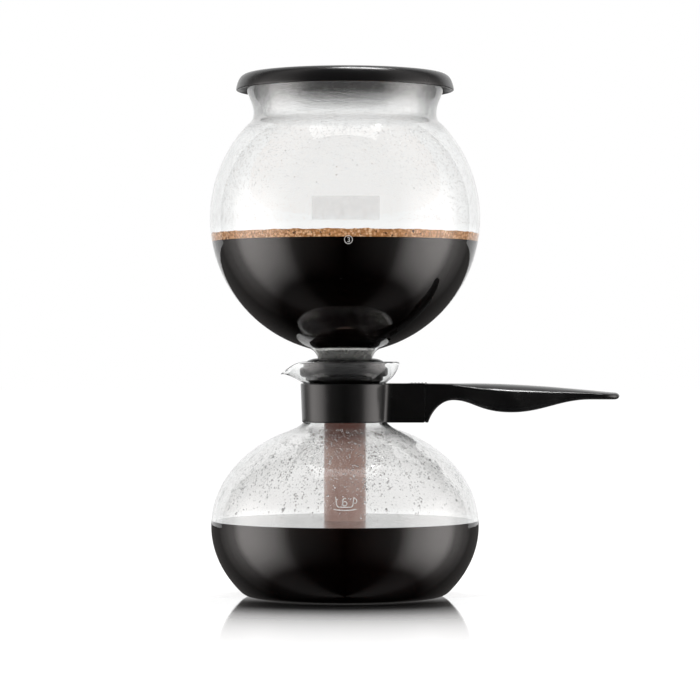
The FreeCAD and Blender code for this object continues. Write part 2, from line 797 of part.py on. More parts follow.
def make_stem_coffee():
    """Coffee standing in the stem, as a sleeve that leaves the spring and the chain free."""
    outer = stem_radius - stem_wall - liquid_gap
    sleeve = rod(outer, stem_foot, stem_top).cut(rod(outer - stem_film, stem_foot - 1, stem_top + 1))
    notch = block(0, stem_radius, 2 * hook_wire, stem_foot - 1, stem_foot + hook_lip + 4 * hook_wire)
    return sleeve.cut(notch)


def make_lower_coffee():
    """Coffee in the carafe, with a well that the stem and its hook can be lifted out of."""
    inset = carafe_wall + liquid_gap
    floor = carafe_floor + liquid_gap
    foot = foot_edges(inset, floor)
    foot_point = foot[0].Vertexes[0].Point
    shoulder = spheroid_edge(inset, floor)
    top_point = shoulder.Vertexes[-1].Point
    edges = [line(at(0, floor), foot_point)] + foot + [shoulder]
    edges += polyline(top_point, at(0, top_point.z), at(0, floor))
    bowl = revolve(edges).common(rod(carafe_radius, 0, lower_level))
    well = stem_radius + hook_clearance + 2 * hook_wire + lift_clearance
    return bowl.cut(rod(well, 0, lower_level + 1))


PIECES = {
    "carafe": make_carafe,
    "neck_collar": make_collar,
    "handle_grip": make_grip,
    "lock_slide": make_lock,
    "globe": make_globe,
    "gasket": make_gasket,
    "lid": make_lid,
    "filter_cone": make_filter_cone,
    "filter_mesh": make_filter_mesh,
    "filter_knob": make_filter_knob,
    "filter_post": make_filter_post,
    "filter_spring": make_spring,
    "chain_coupler": make_coupler,
    "ball_chain": make_chain,
    "chain_hook": make_hook,
    "upper_coffee": make_upper_coffee,
    "coffee_foam": make_foam,
    "stem_coffee": make_stem_coffee,
    "lower_coffee": make_lower_coffee,
}


def main():
    os.makedirs("parts", exist_ok=True)
    for name, make in PIECES.items():
        export(name, make())
    print(f"collar {collar_bottom:.1f} to {collar_top:.1f}, rim {rim_height:.1f}, globe {globe_centre:.1f}, "
          f"lid top {lid_top:.1f}")


main()
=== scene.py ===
import math
import bpy
import numpy as np
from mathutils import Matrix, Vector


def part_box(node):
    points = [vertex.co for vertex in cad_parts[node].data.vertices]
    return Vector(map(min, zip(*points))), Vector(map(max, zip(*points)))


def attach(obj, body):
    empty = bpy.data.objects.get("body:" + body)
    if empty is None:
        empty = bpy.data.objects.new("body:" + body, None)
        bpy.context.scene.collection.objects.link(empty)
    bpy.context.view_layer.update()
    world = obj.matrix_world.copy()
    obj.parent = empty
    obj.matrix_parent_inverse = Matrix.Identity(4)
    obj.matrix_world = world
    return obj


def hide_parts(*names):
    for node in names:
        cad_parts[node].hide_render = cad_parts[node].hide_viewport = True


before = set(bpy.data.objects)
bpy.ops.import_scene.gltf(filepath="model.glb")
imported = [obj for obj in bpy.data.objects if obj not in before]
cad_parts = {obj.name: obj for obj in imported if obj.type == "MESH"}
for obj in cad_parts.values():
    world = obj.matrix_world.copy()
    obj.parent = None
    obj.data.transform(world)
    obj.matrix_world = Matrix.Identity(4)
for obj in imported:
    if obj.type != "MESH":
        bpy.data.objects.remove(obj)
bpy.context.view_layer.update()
rng = np.random.default_rng(7)


def low(node):
    # lowest corner of a CAD node, in millimetres
    return np.array(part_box(node)[0]) * 1000


def high(node):
    # highest corner of a CAD node, in millimetres
    return np.array(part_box(node)[1]) * 1000


collarTop = high("neck_collar")[2]
collarBottom = low("neck_collar")[2]
carafeRim = collarTop + 11.9
gasketTop = high("gasket")[2]
globeFoot = low("globe")[2]
globeTop = high("globe")[2]
lidTop = high("lid")[2]
jointX = high("neck_collar")[0]
gripTip = high("handle_grip")[0]
foamTop = high("coffee_foam")[2]
coffeeTop = high("upper_coffee")[2]
lowerTop = high("lower_coffee")[2]
filterTop = high("filter_cone")[2]
filterBottom = low("filter_cone")[2]


# outlines: rows of (radius, height) in millimetres

def bezier(*poles, count=24):
    # Bernstein sum of the poles at even steps from the first pole to the last
    t = np.linspace(0, 1, count)[:, None]
    n = len(poles) - 1
    return sum(math.comb(n, k) * (1 - t) ** (n - k) * t ** k * np.array(pole, float)
               for k, pole in enumerate(poles))


def arcPath(centre, radii, start, stop, count=24):
    # centre plus radii times cosine and sine of an angle that runs from start to stop in degrees
    a = np.radians(np.linspace(start, stop, count))
    return np.column_stack([centre[0] + radii[0] * np.cos(a), centre[1] + radii[1] * np.sin(a)])


def straight(a, b, count=2):
    # points evenly spaced from a to b
    return np.linspace(a, b, count).astype(float)


def chain(*pieces):
    # pieces end to end, without the points that repeat where they meet
    path = np.vstack([np.atleast_2d(p) for p in pieces]).astype(float)
    keep = np.r_[True, np.linalg.norm(np.diff(path, axis=0), axis=1) > 1e-5]
    return path[keep]


# meshes

def addPiece(name, points, quads, triangles, materials, body, stands=(), slot=None, faceSlot=None,
             smooth=True):
    # one mesh from whole arrays; the sum of a . (b x c) over its triangles says if it is inside out
    faces = [np.asarray(q) for q in (quads, triangles) if q is not None and len(q)]
    points = np.asarray(points, float) / 1000
    volume = 0.0
    for f in faces:
        for k in range(1, f.shape[1] - 1):
            a, b, c = points[f[:, 0]], points[f[:, k]], points[f[:, k + 1]]
            volume += float(np.einsum("ij,ij->", a, np.cross(b, c)))
    if volume < 0:
        faces = [f[:, ::-1] for f in faces]
    mesh = bpy.data.meshes.new(name)
    mesh.from_pydata(points.tolist(), [], [row for f in faces for row in f.tolist()])
    mesh.update()
    mesh.polygons.foreach_set("use_smooth", np.full(len(mesh.polygons), smooth))
    for m in materials:
        mesh.materials.append(m)
    if faceSlot is not None:
        mesh.polygons.foreach_set("material_index", np.asarray(faceSlot, np.int32))
    piece = bpy.data.objects.new(name, mesh)
    bpy.context.scene.collection.objects.link(piece)
    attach(piece, body)
    if stands:
        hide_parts(*stands)
    return piece


def gridFaces(rows, columns, wrapRows=False):
    # four corners of each cell of a grid whose columns wrap round
    row = np.arange(rows if wrapRows else rows - 1)[:, None]
    column = np.arange(columns)[None, :]
    a, b = row * columns, (row + 1) % rows * columns
    after = (column + 1) % columns
    return np.stack([a + column, a + after, b + after, b + column], -1).reshape(-1, 4)


def fan(pole, row, columns, flip):
    # triangles from a pole to each pair of neighbours in a row
    c = np.arange(columns)
    a, b = row * columns + c, row * columns + (c + 1) % columns
    p = np.full(columns, pole)
    return np.stack([p, b, a] if flip else [p, a, b], -1)


def turned(name, outline, turns, materials, body, warp=None, slotOf=None, **more):
    # x = r cos a, y = r sin a for every outline point (r, z) and angle a; a warp may move the whole grid
    outline = np.asarray(outline, float)
    topPole, endPole = outline[0, 0] < 1e-6, outline[-1, 0] < 1e-6
    inner = outline[(1 if topPole else 0):(len(outline) - 1 if endPole else len(outline))]
    a = np.arange(turns) * 2 * math.pi / turns
    r, z = inner[:, :1], inner[:, 1:]
    grid = np.stack([r * np.cos(a), r * np.sin(a), np.repeat(z, turns, 1)], -1)
    if warp:
        grid = warp(grid)
    wrap = not (topPole or endPole)
    points = grid.reshape(-1, 3)
    quads = gridFaces(len(inner), turns, wrap)
    triangles = []
    for isPole, end, row in ((topPole, outline[0], 0), (endPole, outline[-1], len(inner) - 1)):
        if isPole:
            triangles.append(fan(len(points), row, turns, row == 0))
            points = np.vstack([points, [0, 0, end[1]]])
    triangles = np.vstack(triangles) if triangles else None
    slots = None
    if slotOf is not None:
        rowCount = len(inner) if wrap else len(inner) - 1
        rowSlot = np.array([slotOf(inner[i], inner[(i + 1) % len(inner)], i) for i in range(rowCount)])
        slots = np.r_[np.repeat(rowSlot, turns), np.zeros(0 if triangles is None else len(triangles), int)]
    return addPiece(name, points, quads, triangles, materials, body, faceSlot=slots, **more)


# materials

class Value:
    # a socket; arithmetic on it adds Math nodes to its material
    def __init__(self, recipe, socket):
        self.recipe, self.socket = recipe, socket

    def maths(self, operation, *terms):
        return self.recipe.node("ShaderNodeMath", {"operation": operation}, dict(enumerate(terms)))

    def __add__(self, other):
        return self.maths("ADD", self, other)

    def __radd__(self, other):
        return self.maths("ADD", other, self)

    def __sub__(self, other):
        return self.maths("SUBTRACT", self, other)

    def __rsub__(self, other):
        return self.maths("SUBTRACT", other, self)

    def __mul__(self, other):
        return self.maths("MULTIPLY", self, other)

    def __rmul__(self, other):
        return self.maths("MULTIPLY", other, self)

    def __truediv__(self, other):
        return self.maths("DIVIDE", self, other)

    def __pow__(self, other):
        return self.maths("POWER", self, other)


class Recipe:
    # one material and the nodes that make it
    def __init__(self, name):
        self.material = bpy.data.materials.new(name)
        self.material.use_nodes = True
        self.tree = self.material.node_tree
        self.tree.nodes.clear()

    def node(self, kind, settings=None, sockets=None, out=0):
        # a new node; its inputs take links from values and plain numbers
        made = self.tree.nodes.new(kind)
        for key, value in (settings or {}).items():
            if key == "stops":
                ramp = made.color_ramp.elements
                while len(ramp) < len(value):
                    ramp.new(0.5)
                for element, (place, color) in zip(ramp, value):
                    element.position = place
                    element.color = (*color, 1)
            else:
                setattr(made, key, value)
        for key, value in (sockets or {}).items():
            if isinstance(value, Value):
                self.tree.links.new(value.socket, made.inputs[key])
            else:
                made.inputs[key].default_value = value
        return Value(self, made.outputs[out]) if len(made.outputs) else made

    def place(self):
        return self.node("ShaderNodeTexCoord", out="Object")

    def axes(self):
        # x, y and z of the point in metres
        split = self.node("ShaderNodeSeparateXYZ", sockets={0: self.place()})
        outs = split.socket.node.outputs
        return [Value(self, outs[k]) for k in range(3)]

    def noise(self, scale, detail=3.0, roughness=0.55, stretch=(1, 1, 1)):
        spot = self.node("ShaderNodeMapping", sockets={"Vector": self.place(), "Scale": stretch})
        return self.node("ShaderNodeTexNoise", sockets={"Vector": spot, "Scale": scale, "Detail": detail,
                                                        "Roughness": roughness})

    def cells(self, scale, feature="F1", stretch=(1, 1, 1), out="Distance"):
        spot = self.node("ShaderNodeMapping", sockets={"Vector": self.place(), "Scale": stretch})
        sockets = {"Vector": spot, "Scale": scale}
        return self.node("ShaderNodeTexVoronoi", {"feature": feature}, sockets, out)

    def ramp(self, value, bottom, top, start=0.0, stop=1.0):
        # start below bottom and stop above top, eased between
        return self.node("ShaderNodeMapRange", {"interpolation_type": "SMOOTHSTEP"},
                         {0: value, 1: bottom, 2: top, 3: start, 4: stop})

    def tint(self, factor, a, b):
        # a + (b - a) factor
        return self.node("ShaderNodeMix", {"data_type": "RGBA"},
                         {0: factor, 6: (*a, 1) if not isinstance(a, Value) else a,
                          7: (*b, 1) if not isinstance(b, Value) else b}, 2)

    def bump(self, height, distance, strength=1.0, normal=None):
        # the normal leans by the slope of height times distance
        sockets = {"Height": height, "Distance": distance, "Strength": strength}
        if normal is not None:
            sockets["Normal"] = normal
        return self.node("ShaderNodeBump", sockets=sockets)

    def surface(self, **sockets):
        names = {"color": "Base Color", "metallic": "Metallic", "roughness": "Roughness", "ior": "IOR",
                 "alpha": "Alpha", "normal": "Normal", "coat": "Coat Weight",
                 "coatRoughness": "Coat Roughness", "transmission": "Transmission Weight",
                 "glow": "Emission Color", "glowPower": "Emission Strength", "specular": "Specular IOR Level"}
        shader = self.node("ShaderNodeBsdfPrincipled", sockets={names[k]: v for k, v in sockets.items()})
        self.node("ShaderNodeOutputMaterial", sockets={"Surface": shader})
        return self.material


glassLook = {"ior": 1.48, "tint": (0.985, 0.992, 0.99, 1), "smear": 0.03, "gloss": 0.5, "paleGloss": 0.08}


def makeGlass(name, gloss):
    # clear glass with slow ripples and faint smears; less gloss where no coffee stands behind it
    r = Recipe(name)
    smear = r.ramp(r.noise(9, 4), 0.45, 0.75, 0.0, glassLook["smear"])
    ripple = r.bump(r.noise(14, 2), 0.0006, 0.12)
    return r.surface(color=glassLook["tint"], roughness=smear, ior=glassLook["ior"], transmission=1.0,
                     specular=gloss, normal=ripple)


mistLook = {"dropScale": 1100, "grainScale": 1500, "grain": 2.2, "gloss": 0.1}


def makeMist(name, bottom, top, fog, thickFrom, thickFog, relief, wetTint):
    # wet inner wall between two heights: fine drops as bump and fog as roughness, thicker above a height
    r = Recipe(name)
    z = r.axes()[2]
    band = r.ramp(z, bottom, bottom + 0.004) * (1 - r.ramp(z, top - 0.003, top + 0.001))
    thick = r.ramp(z, thickFrom - 0.006, thickFrom + 0.004)
    patch = r.ramp(r.noise(30, 5), 0.35, 0.7)
    drops = 1 - r.ramp(r.cells(mistLook["dropScale"]), 0.05, 0.4)
    present = r.ramp(r.cells(mistLook["dropScale"], out="Color"), 0.58, 0.64)
    grain = r.noise(mistLook["grainScale"], 2) * thick
    wet = (drops * present + grain * mistLook["grain"]) * band
    rough = (patch * fog + thick * thickFog) * band
    cloud = r.ramp(r.noise(40, 4, stretch=(1, 1, 0.5)), 0.35, 0.7, 0.88, 1.0)
    tint = r.tint(band * cloud, glassLook["tint"][:3], wetTint)
    normal = r.bump(wet, relief, 0.7)
    return r.surface(color=tint, roughness=rough, ior=glassLook["ior"], transmission=1.0,
                     specular=mistLook["gloss"], normal=normal)


def makeWater():
    # clear drops with a slight ripple
    r = Recipe("waterDrops")
    ripple = r.bump(r.noise(900, 2), 0.00004, 0.4)
    return r.surface(color=(0.97, 0.98, 0.98, 1), roughness=0.01, ior=1.33, transmission=1.0, normal=ripple)


waterIor = 1.34


def makeCoffee(name, deep, thin, depth, gloss=0.0, roughness=0.7, coat=0.0):
    # coffee against glass has no shine of its own: the glass gives it
    r = Recipe(name)
    swirl = r.ramp(r.noise(18, 4, stretch=(1, 1, 2.5)), 0.4, 0.75)
    color = r.tint(swirl * depth, deep, thin)
    return r.surface(color=color, roughness=roughness, ior=waterIor, specular=gloss, coat=coat,
                     coatRoughness=roughness)


def makeStemBrew():
    # the column in the stem: redder and darker under the collar as painted shade, and glowing with its own
    # colour as painted light
    r = Recipe("stemCoffee")
    z = r.axes()[2]
    swirl = r.ramp(r.noise(60, 4, stretch=(1, 1, 0.4)), 0.35, 0.7)
    color = r.tint(swirl, (0.40, 0.245, 0.205), (0.58, 0.42, 0.37))
    # painted shade: from 84 to 103 mm up, under the collar, the column turns redder and darker
    color = r.tint(r.ramp(z, 0.084, 0.103), color, (0.12, 0.04, 0.028))
    # painted light: the coffee glows with its own colour
    return r.surface(color=color, roughness=0.7, ior=waterIor, specular=0.0, glow=color, glowPower=0.4)


def makeFoam():
    # foam: pale sparkle dots painted as highlights over tan, darker films between bubbles and specks of
    # ground coffee; it glows with its own colour as painted light
    r = Recipe("crema")
    bubbles = r.cells(620)
    # painted highlight: pale dots at the bubbles' centres stand for glints
    sparkle = 1 - r.ramp(r.cells(900), 0.05, 0.22)
    grounds = r.ramp(r.noise(650, 2), 0.6, 0.68)
    large = r.noise(70, 5)
    tan = r.tint(r.ramp(large, 0.3, 0.7), (0.66, 0.33, 0.14), (0.86, 0.58, 0.36))
    filmed = r.tint(r.ramp(bubbles, 0.15, 0.7), tan, (0.42, 0.19, 0.07))
    specked = r.tint(grounds, filmed, (0.07, 0.025, 0.01))
    color = r.tint(sparkle * 0.6, specked, (0.95, 0.8, 0.62))
    normal = r.bump(bubbles + large * 0.8, 0.0008, 0.7)
    rough = r.ramp(large, 0.3, 0.7, 0.35, 0.6)
    # painted light: the foam glows with its own colour
    return r.surface(color=color, roughness=rough, ior=waterIor, specular=0.2, normal=normal, glow=color,
                     glowPower=0.3)


def makePlastic(name, color, rough, grain, dust, gloss=0.5):
    # moulded plastic: fine grain as bump, faint wear marks as changes of gloss
    r = Recipe(name)
    fine = r.noise(2600, 2)
    wear = r.ramp(r.noise(45, 6, 0.65), 0.5, 0.72)
    hairs = r.ramp(r.noise(700, 2, stretch=(0.04, 1, 1)), 0.66, 0.74)
    tone = r.tint(wear * dust, color, tuple(c * 2.2 + 0.006 for c in color))
    return r.surface(color=tone, roughness=rough + wear * 0.07 + hairs * 0.05, ior=1.5, specular=gloss,
                     normal=r.bump(fine, 0.00006, grain))


def makeRubber():
    # black rubber with a grey bloom in patches
    r = Recipe("blackRubber")
    fine = r.noise(1500, 3)
    bloom = r.ramp(r.noise(70, 4), 0.4, 0.75)
    return r.surface(color=r.tint(bloom, (0.003, 0.003, 0.003), (0.009, 0.009, 0.0092)),
                     roughness=0.2 + bloom * 0.1, ior=1.5, specular=0.07, normal=r.bump(fine, 0.00006, 0.3))


def makeSteel(name, rough, level=0.62):
    # drawn steel with fine brush lines and tea coloured stains
    r = Recipe(name)
    brush = r.noise(300, 3, stretch=(1, 1, 8))
    stain = r.ramp(r.noise(120, 4), 0.45, 0.75)
    clean = (level, level * 0.985, level * 0.96)
    tone = r.tint(stain, clean, (level * 0.6, level * 0.54, level * 0.46))
    return r.surface(color=tone, metallic=1.0, roughness=rough + brush * 0.12 + stain * 0.1,
                     normal=r.bump(brush, 0.00005, 0.3))


sieveLook = {"around": 150, "pitch": 0.0008}


def makeSieve():
    # perforated steel: round holes in staggered rows round the axis, by angle and height
    r = Recipe("perforatedSteel")
    x, y, z = r.axes()
    column = y.maths("ARCTAN2", y, x) * (sieveLook["around"] / (2 * math.pi))
    row = z / sieveLook["pitch"]
    level = row.maths("FLOOR", row)
    shifted = column + level.maths("FLOORED_MODULO", level, 2.0) * 0.5
    u = shifted.maths("FRACT", shifted) - 0.5
    v = row.maths("FRACT", row) - 0.5
    gap = (u * u + v * v) ** 0.5
    hole = 1 - r.ramp(gap, 0.16, 0.24)
    stain = r.ramp(r.noise(160, 4), 0.4, 0.75)
    steel = r.tint(stain, (0.86, 0.86, 0.84), (0.7, 0.69, 0.66))
    color = r.tint(hole, steel, (0.06, 0.05, 0.045))
    return r.surface(color=color, metallic=0.6 - hole * 0.5, roughness=0.22 + stain * 0.15,
                     normal=r.bump(1 - hole, 0.0002, 0.7))


def makePaint():
    # white print, a little worn
    r = Recipe("whitePrint")
    wear = r.ramp(r.noise(400, 3), 0.3, 0.7)
    return r.surface(color=r.tint(wear, (0.85, 0.85, 0.84), (0.72, 0.72, 0.71)), roughness=0.5 + wear * 0.1)


def makeLabel():
    # a plain half clear label
    r = Recipe("plainLabel")
    wear = r.ramp(r.noise(300, 3), 0.3, 0.7)
    return r.surface(color=r.tint(wear, (0.6, 0.6, 0.6), (0.52, 0.52, 0.52)), roughness=0.6, specular=0.1,
                     alpha=0.11 + wear * 0.03)


glass = makeGlass("blownGlass", glassLook["gloss"])
paleGlass = makeGlass("paleGlass", glassLook["paleGloss"])
globeMist = makeMist("mistedGlobe", 0.219, 0.32, 0.008, 0.281, 0.05, 0.00014, (0.92, 0.922, 0.92))
carafeMist = makeMist("mistedCarafe", 0.046, 0.101, 0.003, 0.098, 0.0, 0.00004, (0.86, 0.85, 0.843))
water = makeWater()
darkCoffee = makeCoffee("darkCoffee", (0.0012, 0.0006, 0.0005), (0.005, 0.002, 0.0012), 0.5)
lowCoffee = makeCoffee("settledCoffee", (0.0022, 0.0007, 0.0005), (0.008, 0.003, 0.002), 0.6)
openCoffee = makeCoffee("openCoffee", (0.004, 0.002, 0.0015), (0.012, 0.006, 0.004), 0.6, 0.5, 0.22, 1.0)
stemBrew = makeStemBrew()
crema = makeFoam()
collarPlastic = makePlastic("collarPlastic", (0.006, 0.006, 0.006), 0.2, 0.25, 0.3, 0.36)
gripPlastic = makePlastic("gripPlastic", (0.006, 0.006, 0.0062), 0.17, 0.4, 0.4, 0.36)
lidPlastic = makePlastic("lidPlastic", (0.006, 0.006, 0.0062), 0.24, 0.5, 0.4, 0.3)
rubber = makeRubber()
steel = makeSteel("brushedSteel", 0.22)
wire = makeSteel("springWire", 0.18, 0.7)
plated = makeSteel("platedChain", 0.1, 0.8)
sieve = makeSieve()
paint = makePaint()
label = makeLabel()
print("materials made")


# carafe

carafeShape = {"wide": 80.2, "rise": 62.9, "middle": 42.0, "wall": 2.2, "floor": 3.8, "foot": 3.2,
               "neck": 23.6, "shoulder": 33.0, "rim": 32.7, "spoutReach": 5.8, "spoutDrop": 6.2,
               "spoutWidth": 0.37, "sink": 1.8, "sinkDown": 3.4}


def carafeOutline(inset, floor):
    # from the edge of the foot, up the squashed sphere, over the shoulder and out to the rim
    s = carafeShape
    wide, rise = s["wide"] - inset, s["rise"] - inset
    footZ = floor + s["foot"]
    footR = wide * math.sqrt(1 - ((footZ - s["middle"]) / rise) ** 2)
    slope = (wide / rise) ** 2 * (s["middle"] - footZ) / footR
    cornerR = footR - slope * s["foot"]
    lowAngle = math.degrees(math.asin((footZ - s["middle"]) / rise))
    topAngle = math.degrees(math.acos(s["shoulder"] / s["wide"]))
    startR = s["shoulder"] * (1 - inset / s["wide"])
    startZ = s["middle"] + rise * math.sqrt(1 - (startR / wide) ** 2)
    neck, rim = s["neck"] - inset, s["rim"] - inset
    bend = startZ + (rise / wide) ** 2 * startR / (startZ - s["middle"]) * (startR - neck)
    flare = collarTop - 1.5
    return chain(
        bezier((cornerR - s["foot"], floor), (cornerR, floor), (footR, footZ), count=10),
        arcPath((0, s["middle"]), (wide, rise), lowAngle, topAngle, 90),
        bezier((startR, startZ), (neck, bend), (neck, bend + 4.7), count=16),
        straight((neck, bend + 4.7), (neck, flare), 14),
        bezier((neck, flare), (neck, flare + 2), (rim - 1.82, collarTop + 3), (rim, carafeRim), count=30))


def spoutWarp(grid):
    # near -X and above the neck, points move out and down: a bell in angle times a power of the height
    s = carafeShape
    r = np.hypot(grid[..., 0], grid[..., 1])
    turn = np.abs(np.arctan2(grid[..., 1], -grid[..., 0]))
    bell = np.exp(-(turn / s["spoutWidth"]) ** 3 / 2)
    t = np.clip((grid[..., 2] - collarTop + 1) / (carafeRim - collarTop + 1), 0, 1)
    out = s["spoutReach"] * bell * t ** 1.3
    down = (s["spoutDrop"] + 0.3) * bell ** 1.4 * t ** 2.2
    scale = 1 + out / np.maximum(r, 1)
    return np.stack([grid[..., 0] * scale, grid[..., 1] * scale, grid[..., 2] - down], -1)


def makeCarafe():
    # outer outline, round lip and inner outline turned about the axis, then the spout is drawn out
    s = carafeShape
    outer = carafeOutline(0, 0)
    inner = carafeOutline(s["wall"], s["floor"])
    lip = arcPath((s["rim"] - s["wall"] / 2, carafeRim), (s["wall"] / 2, s["wall"] / 2), 0, 180, 10)
    outline = chain((0, 0), outer, lip, inner[::-1], (0, s["floor"]))
    split = len(chain((0, 0), outer, lip)) - 2

    def glassAt(a, b, i):
        # misted inside, pale outside between the coffee and the collar, clear elsewhere
        return 1 if i >= split else (2 if lowerTop + 0.5 < a[1] < collarBottom else 0)

    turned("carafeGlass", outline, 220, [glass, carafeMist, paleGlass], "carafe", spoutWarp, glassAt,
           stands=("carafe",), slot="glass")


def makeLowerCoffee():
    # the inner outline sunk a little into the glass, with a skin that curls up at the wall
    s = carafeShape
    sink = s["sink"]
    inner = carafeOutline(s["wall"] - sink, s["floor"] - s["sinkDown"])
    inner = inner[inner[:, 1] < lowerTop + 0.6]
    edgeR = inner[-1, 0]
    skin = bezier((edgeR, inner[-1, 1]), (edgeR - 1.2, lowerTop), (edgeR - 4, lowerTop), count=8)
    outline = chain((0, s["floor"] - s["sinkDown"]), inner, skin,
                    straight((edgeR - 4, lowerTop), (1.5, lowerTop), 16), (0, lowerTop))

    def coffeeAt(a, b, i):
        # the free surface is glossy
        return int(min(a[1], b[1]) > lowerTop - 0.01 and a[0] < edgeR - 1)

    turned("lowerCoffee", outline, 200, [lowCoffee, openCoffee], "carafe", None, coffeeAt,
           stands=("lower_coffee",), slot="coffee")


dropShape = {"scattered": 3300, "towards": 0.45, "spread": 0.4, "runs": 90, "inRun": 16, "large": 70,
             "low": 49.0, "high": 99.0, "largeFrom": 92.0, "columns": 6}


def anyTurn(count):
    # angles anywhere round the axis
    return rng.uniform(0, 2 * math.pi, count)


def carafeSpots():
    # (angle, height, radius) of each drop: scattered ones, upright runs, and large ones under the collar
    s = dropShape
    n = s["scattered"]
    up = rng.beta(1.7, 1.0, n)
    ahead = rng.normal(0, s["spread"], n) - math.pi / 2 + math.pi * rng.integers(0, 2, n)
    around = np.where(rng.uniform(0, 1, n) < s["towards"], ahead, anyTurn(n))
    scattered = np.column_stack([around, s["low"] + (s["high"] - s["low"]) * up,
                                 rng.lognormal(-1.3, 0.34, n)])
    run = np.repeat(anyTurn(s["runs"]), s["inRun"])
    start = np.repeat(rng.uniform(s["low"], s["high"] - 22, s["runs"]), s["inRun"])
    reach = np.repeat(rng.uniform(14, 34, s["runs"]), s["inRun"])
    k = len(run)
    inRuns = np.column_stack([run + rng.normal(0, 0.012, k),
                              np.minimum(start + reach * rng.uniform(0, 1, k), s["high"]),
                              rng.lognormal(-1.05, 0.35, k)])
    m = s["large"]
    large = np.column_stack([anyTurn(m), rng.uniform(s["largeFrom"], s["high"] + 0.5, m),
                             rng.uniform(0.6, 1.1, m)])
    return np.vstack([scattered, inRuns, large])


speckShape = {"neck": (900, 284, 307, -1.45), "lower": (300, 240, 286, -1.4), "vary": 0.3}


def globeSpots():
    # (angle, height, radius) of fine specks: most in the neck, a few lower down
    return np.vstack([np.column_stack([anyTurn(n), rng.uniform(bottom, top, n),
                                       rng.lognormal(size, speckShape["vary"], n)])
                      for n, bottom, top, size in (speckShape["neck"], speckShape["lower"])])


def makeDroplets(name, outline, spots, body):
    # each drop is a small dome on the wall: centre + sideways + up along the wall + out towards the axis
    angle, height, size = spots.T
    order = np.argsort(outline[:, 1])
    wallZ, wallR = outline[order, 1], outline[order, 0]
    radius = np.interp(height, wallZ, wallR)
    above = np.interp(height + 0.5, wallZ, wallR)
    lean = np.column_stack([above - radius, np.full(len(height), 0.5)])
    lean /= np.linalg.norm(lean, axis=1)[:, None]
    columns = dropShape["columns"]
    a = np.arange(columns) * 2 * math.pi / columns
    rings = np.array([(1.0, 0.06), (0.8, -0.5)])
    sideways = np.concatenate([[0.0], (rings[:, :1] * np.cos(a)).ravel(), [0.0]])
    upwards = np.concatenate([[0.0], (rings[:, :1] * np.sin(a)).ravel(), [0.0]])
    out = np.concatenate([[0.14], np.repeat(rings[:, 1], columns), [-0.8]])
    sag = rng.uniform(1.0, 1.35, len(size))
    s, u, o = (size[:, None] * v for v in (sideways, upwards, out))
    u = u * sag[:, None]
    r = radius[:, None] + u * lean[:, :1] + o * lean[:, 1:]
    z = height[:, None] + u * lean[:, 1:] - o * lean[:, :1]
    c, n = np.cos(angle)[:, None], np.sin(angle)[:, None]
    points = np.stack([r * c - s * n, r * n + s * c, z], -1).reshape(-1, 3)
    each = len(out)
    domes = gridFaces(2, columns) + 1
    caps = np.vstack([fan(0, 0, columns, True) + [0, 1, 1], fan(each - 1, 1, columns, False) + [0, 1, 1]])
    shift = (np.arange(len(size)) * each)[:, None, None]
    quads, triangles = (domes[None] + shift).reshape(-1, 4), (caps[None] + shift).reshape(-1, 3)
    addPiece(name, points, quads, triangles, [water], body)


makeCarafe()
makeLowerCoffee()
carafeWall = carafeOutline(carafeShape["wall"], carafeShape["floor"])
carafeWall = carafeWall[carafeWall[:, 1] > carafeShape["middle"] + 2]
makeDroplets("carafeDroplets", carafeWall, carafeSpots(), "carafe")
print("carafe made")


# globe and stem

globeShape = {"radius": 81.0, "wall": 1.8, "neck": 16.2, "lean": 0.446, "throat": 22.0, "waist": 54.9,
              "waistUp": 63.2, "flare": 5.1, "mouth": 18.8, "stem": 12.6, "stemWall": 1.6, "taper": 13.0,
              "neckUp": 6.0}
throatDrop = math.sqrt(globeShape["radius"] ** 2 - globeShape["throat"] ** 2)
globeMiddle = gasketTop + globeShape["neckUp"] + throatDrop


def globeOutline(inset, stemInset):
    # from the rim, in to the waist, round the sphere, down the throat and neck to the end of the stem
    s = globeShape
    radius = s["radius"] - inset
    waist = s["waist"] - inset
    waistZ = globeMiddle + s["waistUp"]
    rim = (waist + s["flare"], waistZ + s["mouth"])
    joinR = waist + s["flare"]
    joinZ = globeMiddle + math.sqrt(radius ** 2 - joinR ** 2)
    slope = np.array([-(joinZ - globeMiddle), joinR]) / radius
    throatR = s["throat"] * radius / s["radius"]
    throatZ = globeMiddle - math.sqrt(radius ** 2 - throatR ** 2)
    throatSlope = np.array([-(globeMiddle - throatZ), -throatR]) / radius
    neck = np.array([s["neck"] - inset, gasketTop])
    lean = np.array([s["lean"], 1]) / math.hypot(s["lean"], 1)
    stem = np.array([s["stem"] - stemInset, gasketTop - s["taper"]])
    join, throat = np.array([joinR, joinZ]), np.array([throatR, throatZ])
    reach = (waistZ - joinZ) * 0.6
    startAngle = math.degrees(math.atan2(joinZ - globeMiddle, joinR))
    endAngle = math.degrees(math.atan2(throatZ - globeMiddle, throatR))
    return chain(
        bezier(rim, (rim[0], rim[1] - s["mouth"] / 3), (waist, waistZ + s["mouth"] / 3), (waist, waistZ),
               count=20),
        bezier((waist, waistZ), (waist, waistZ - reach), join + slope * reach, join, count=12),
        arcPath((0, globeMiddle), (radius, radius), startAngle, endAngle, 104),
        bezier(throat, throat + throatSlope * s["neckUp"] * 0.7, neck + lean * s["neckUp"] / 2, neck,
               count=14),
        bezier(neck, neck - lean * s["taper"] / 2, stem + (0, s["taper"] / 3), stem, count=12),
        straight(stem, (s["stem"] - stemInset, globeFoot), 30))


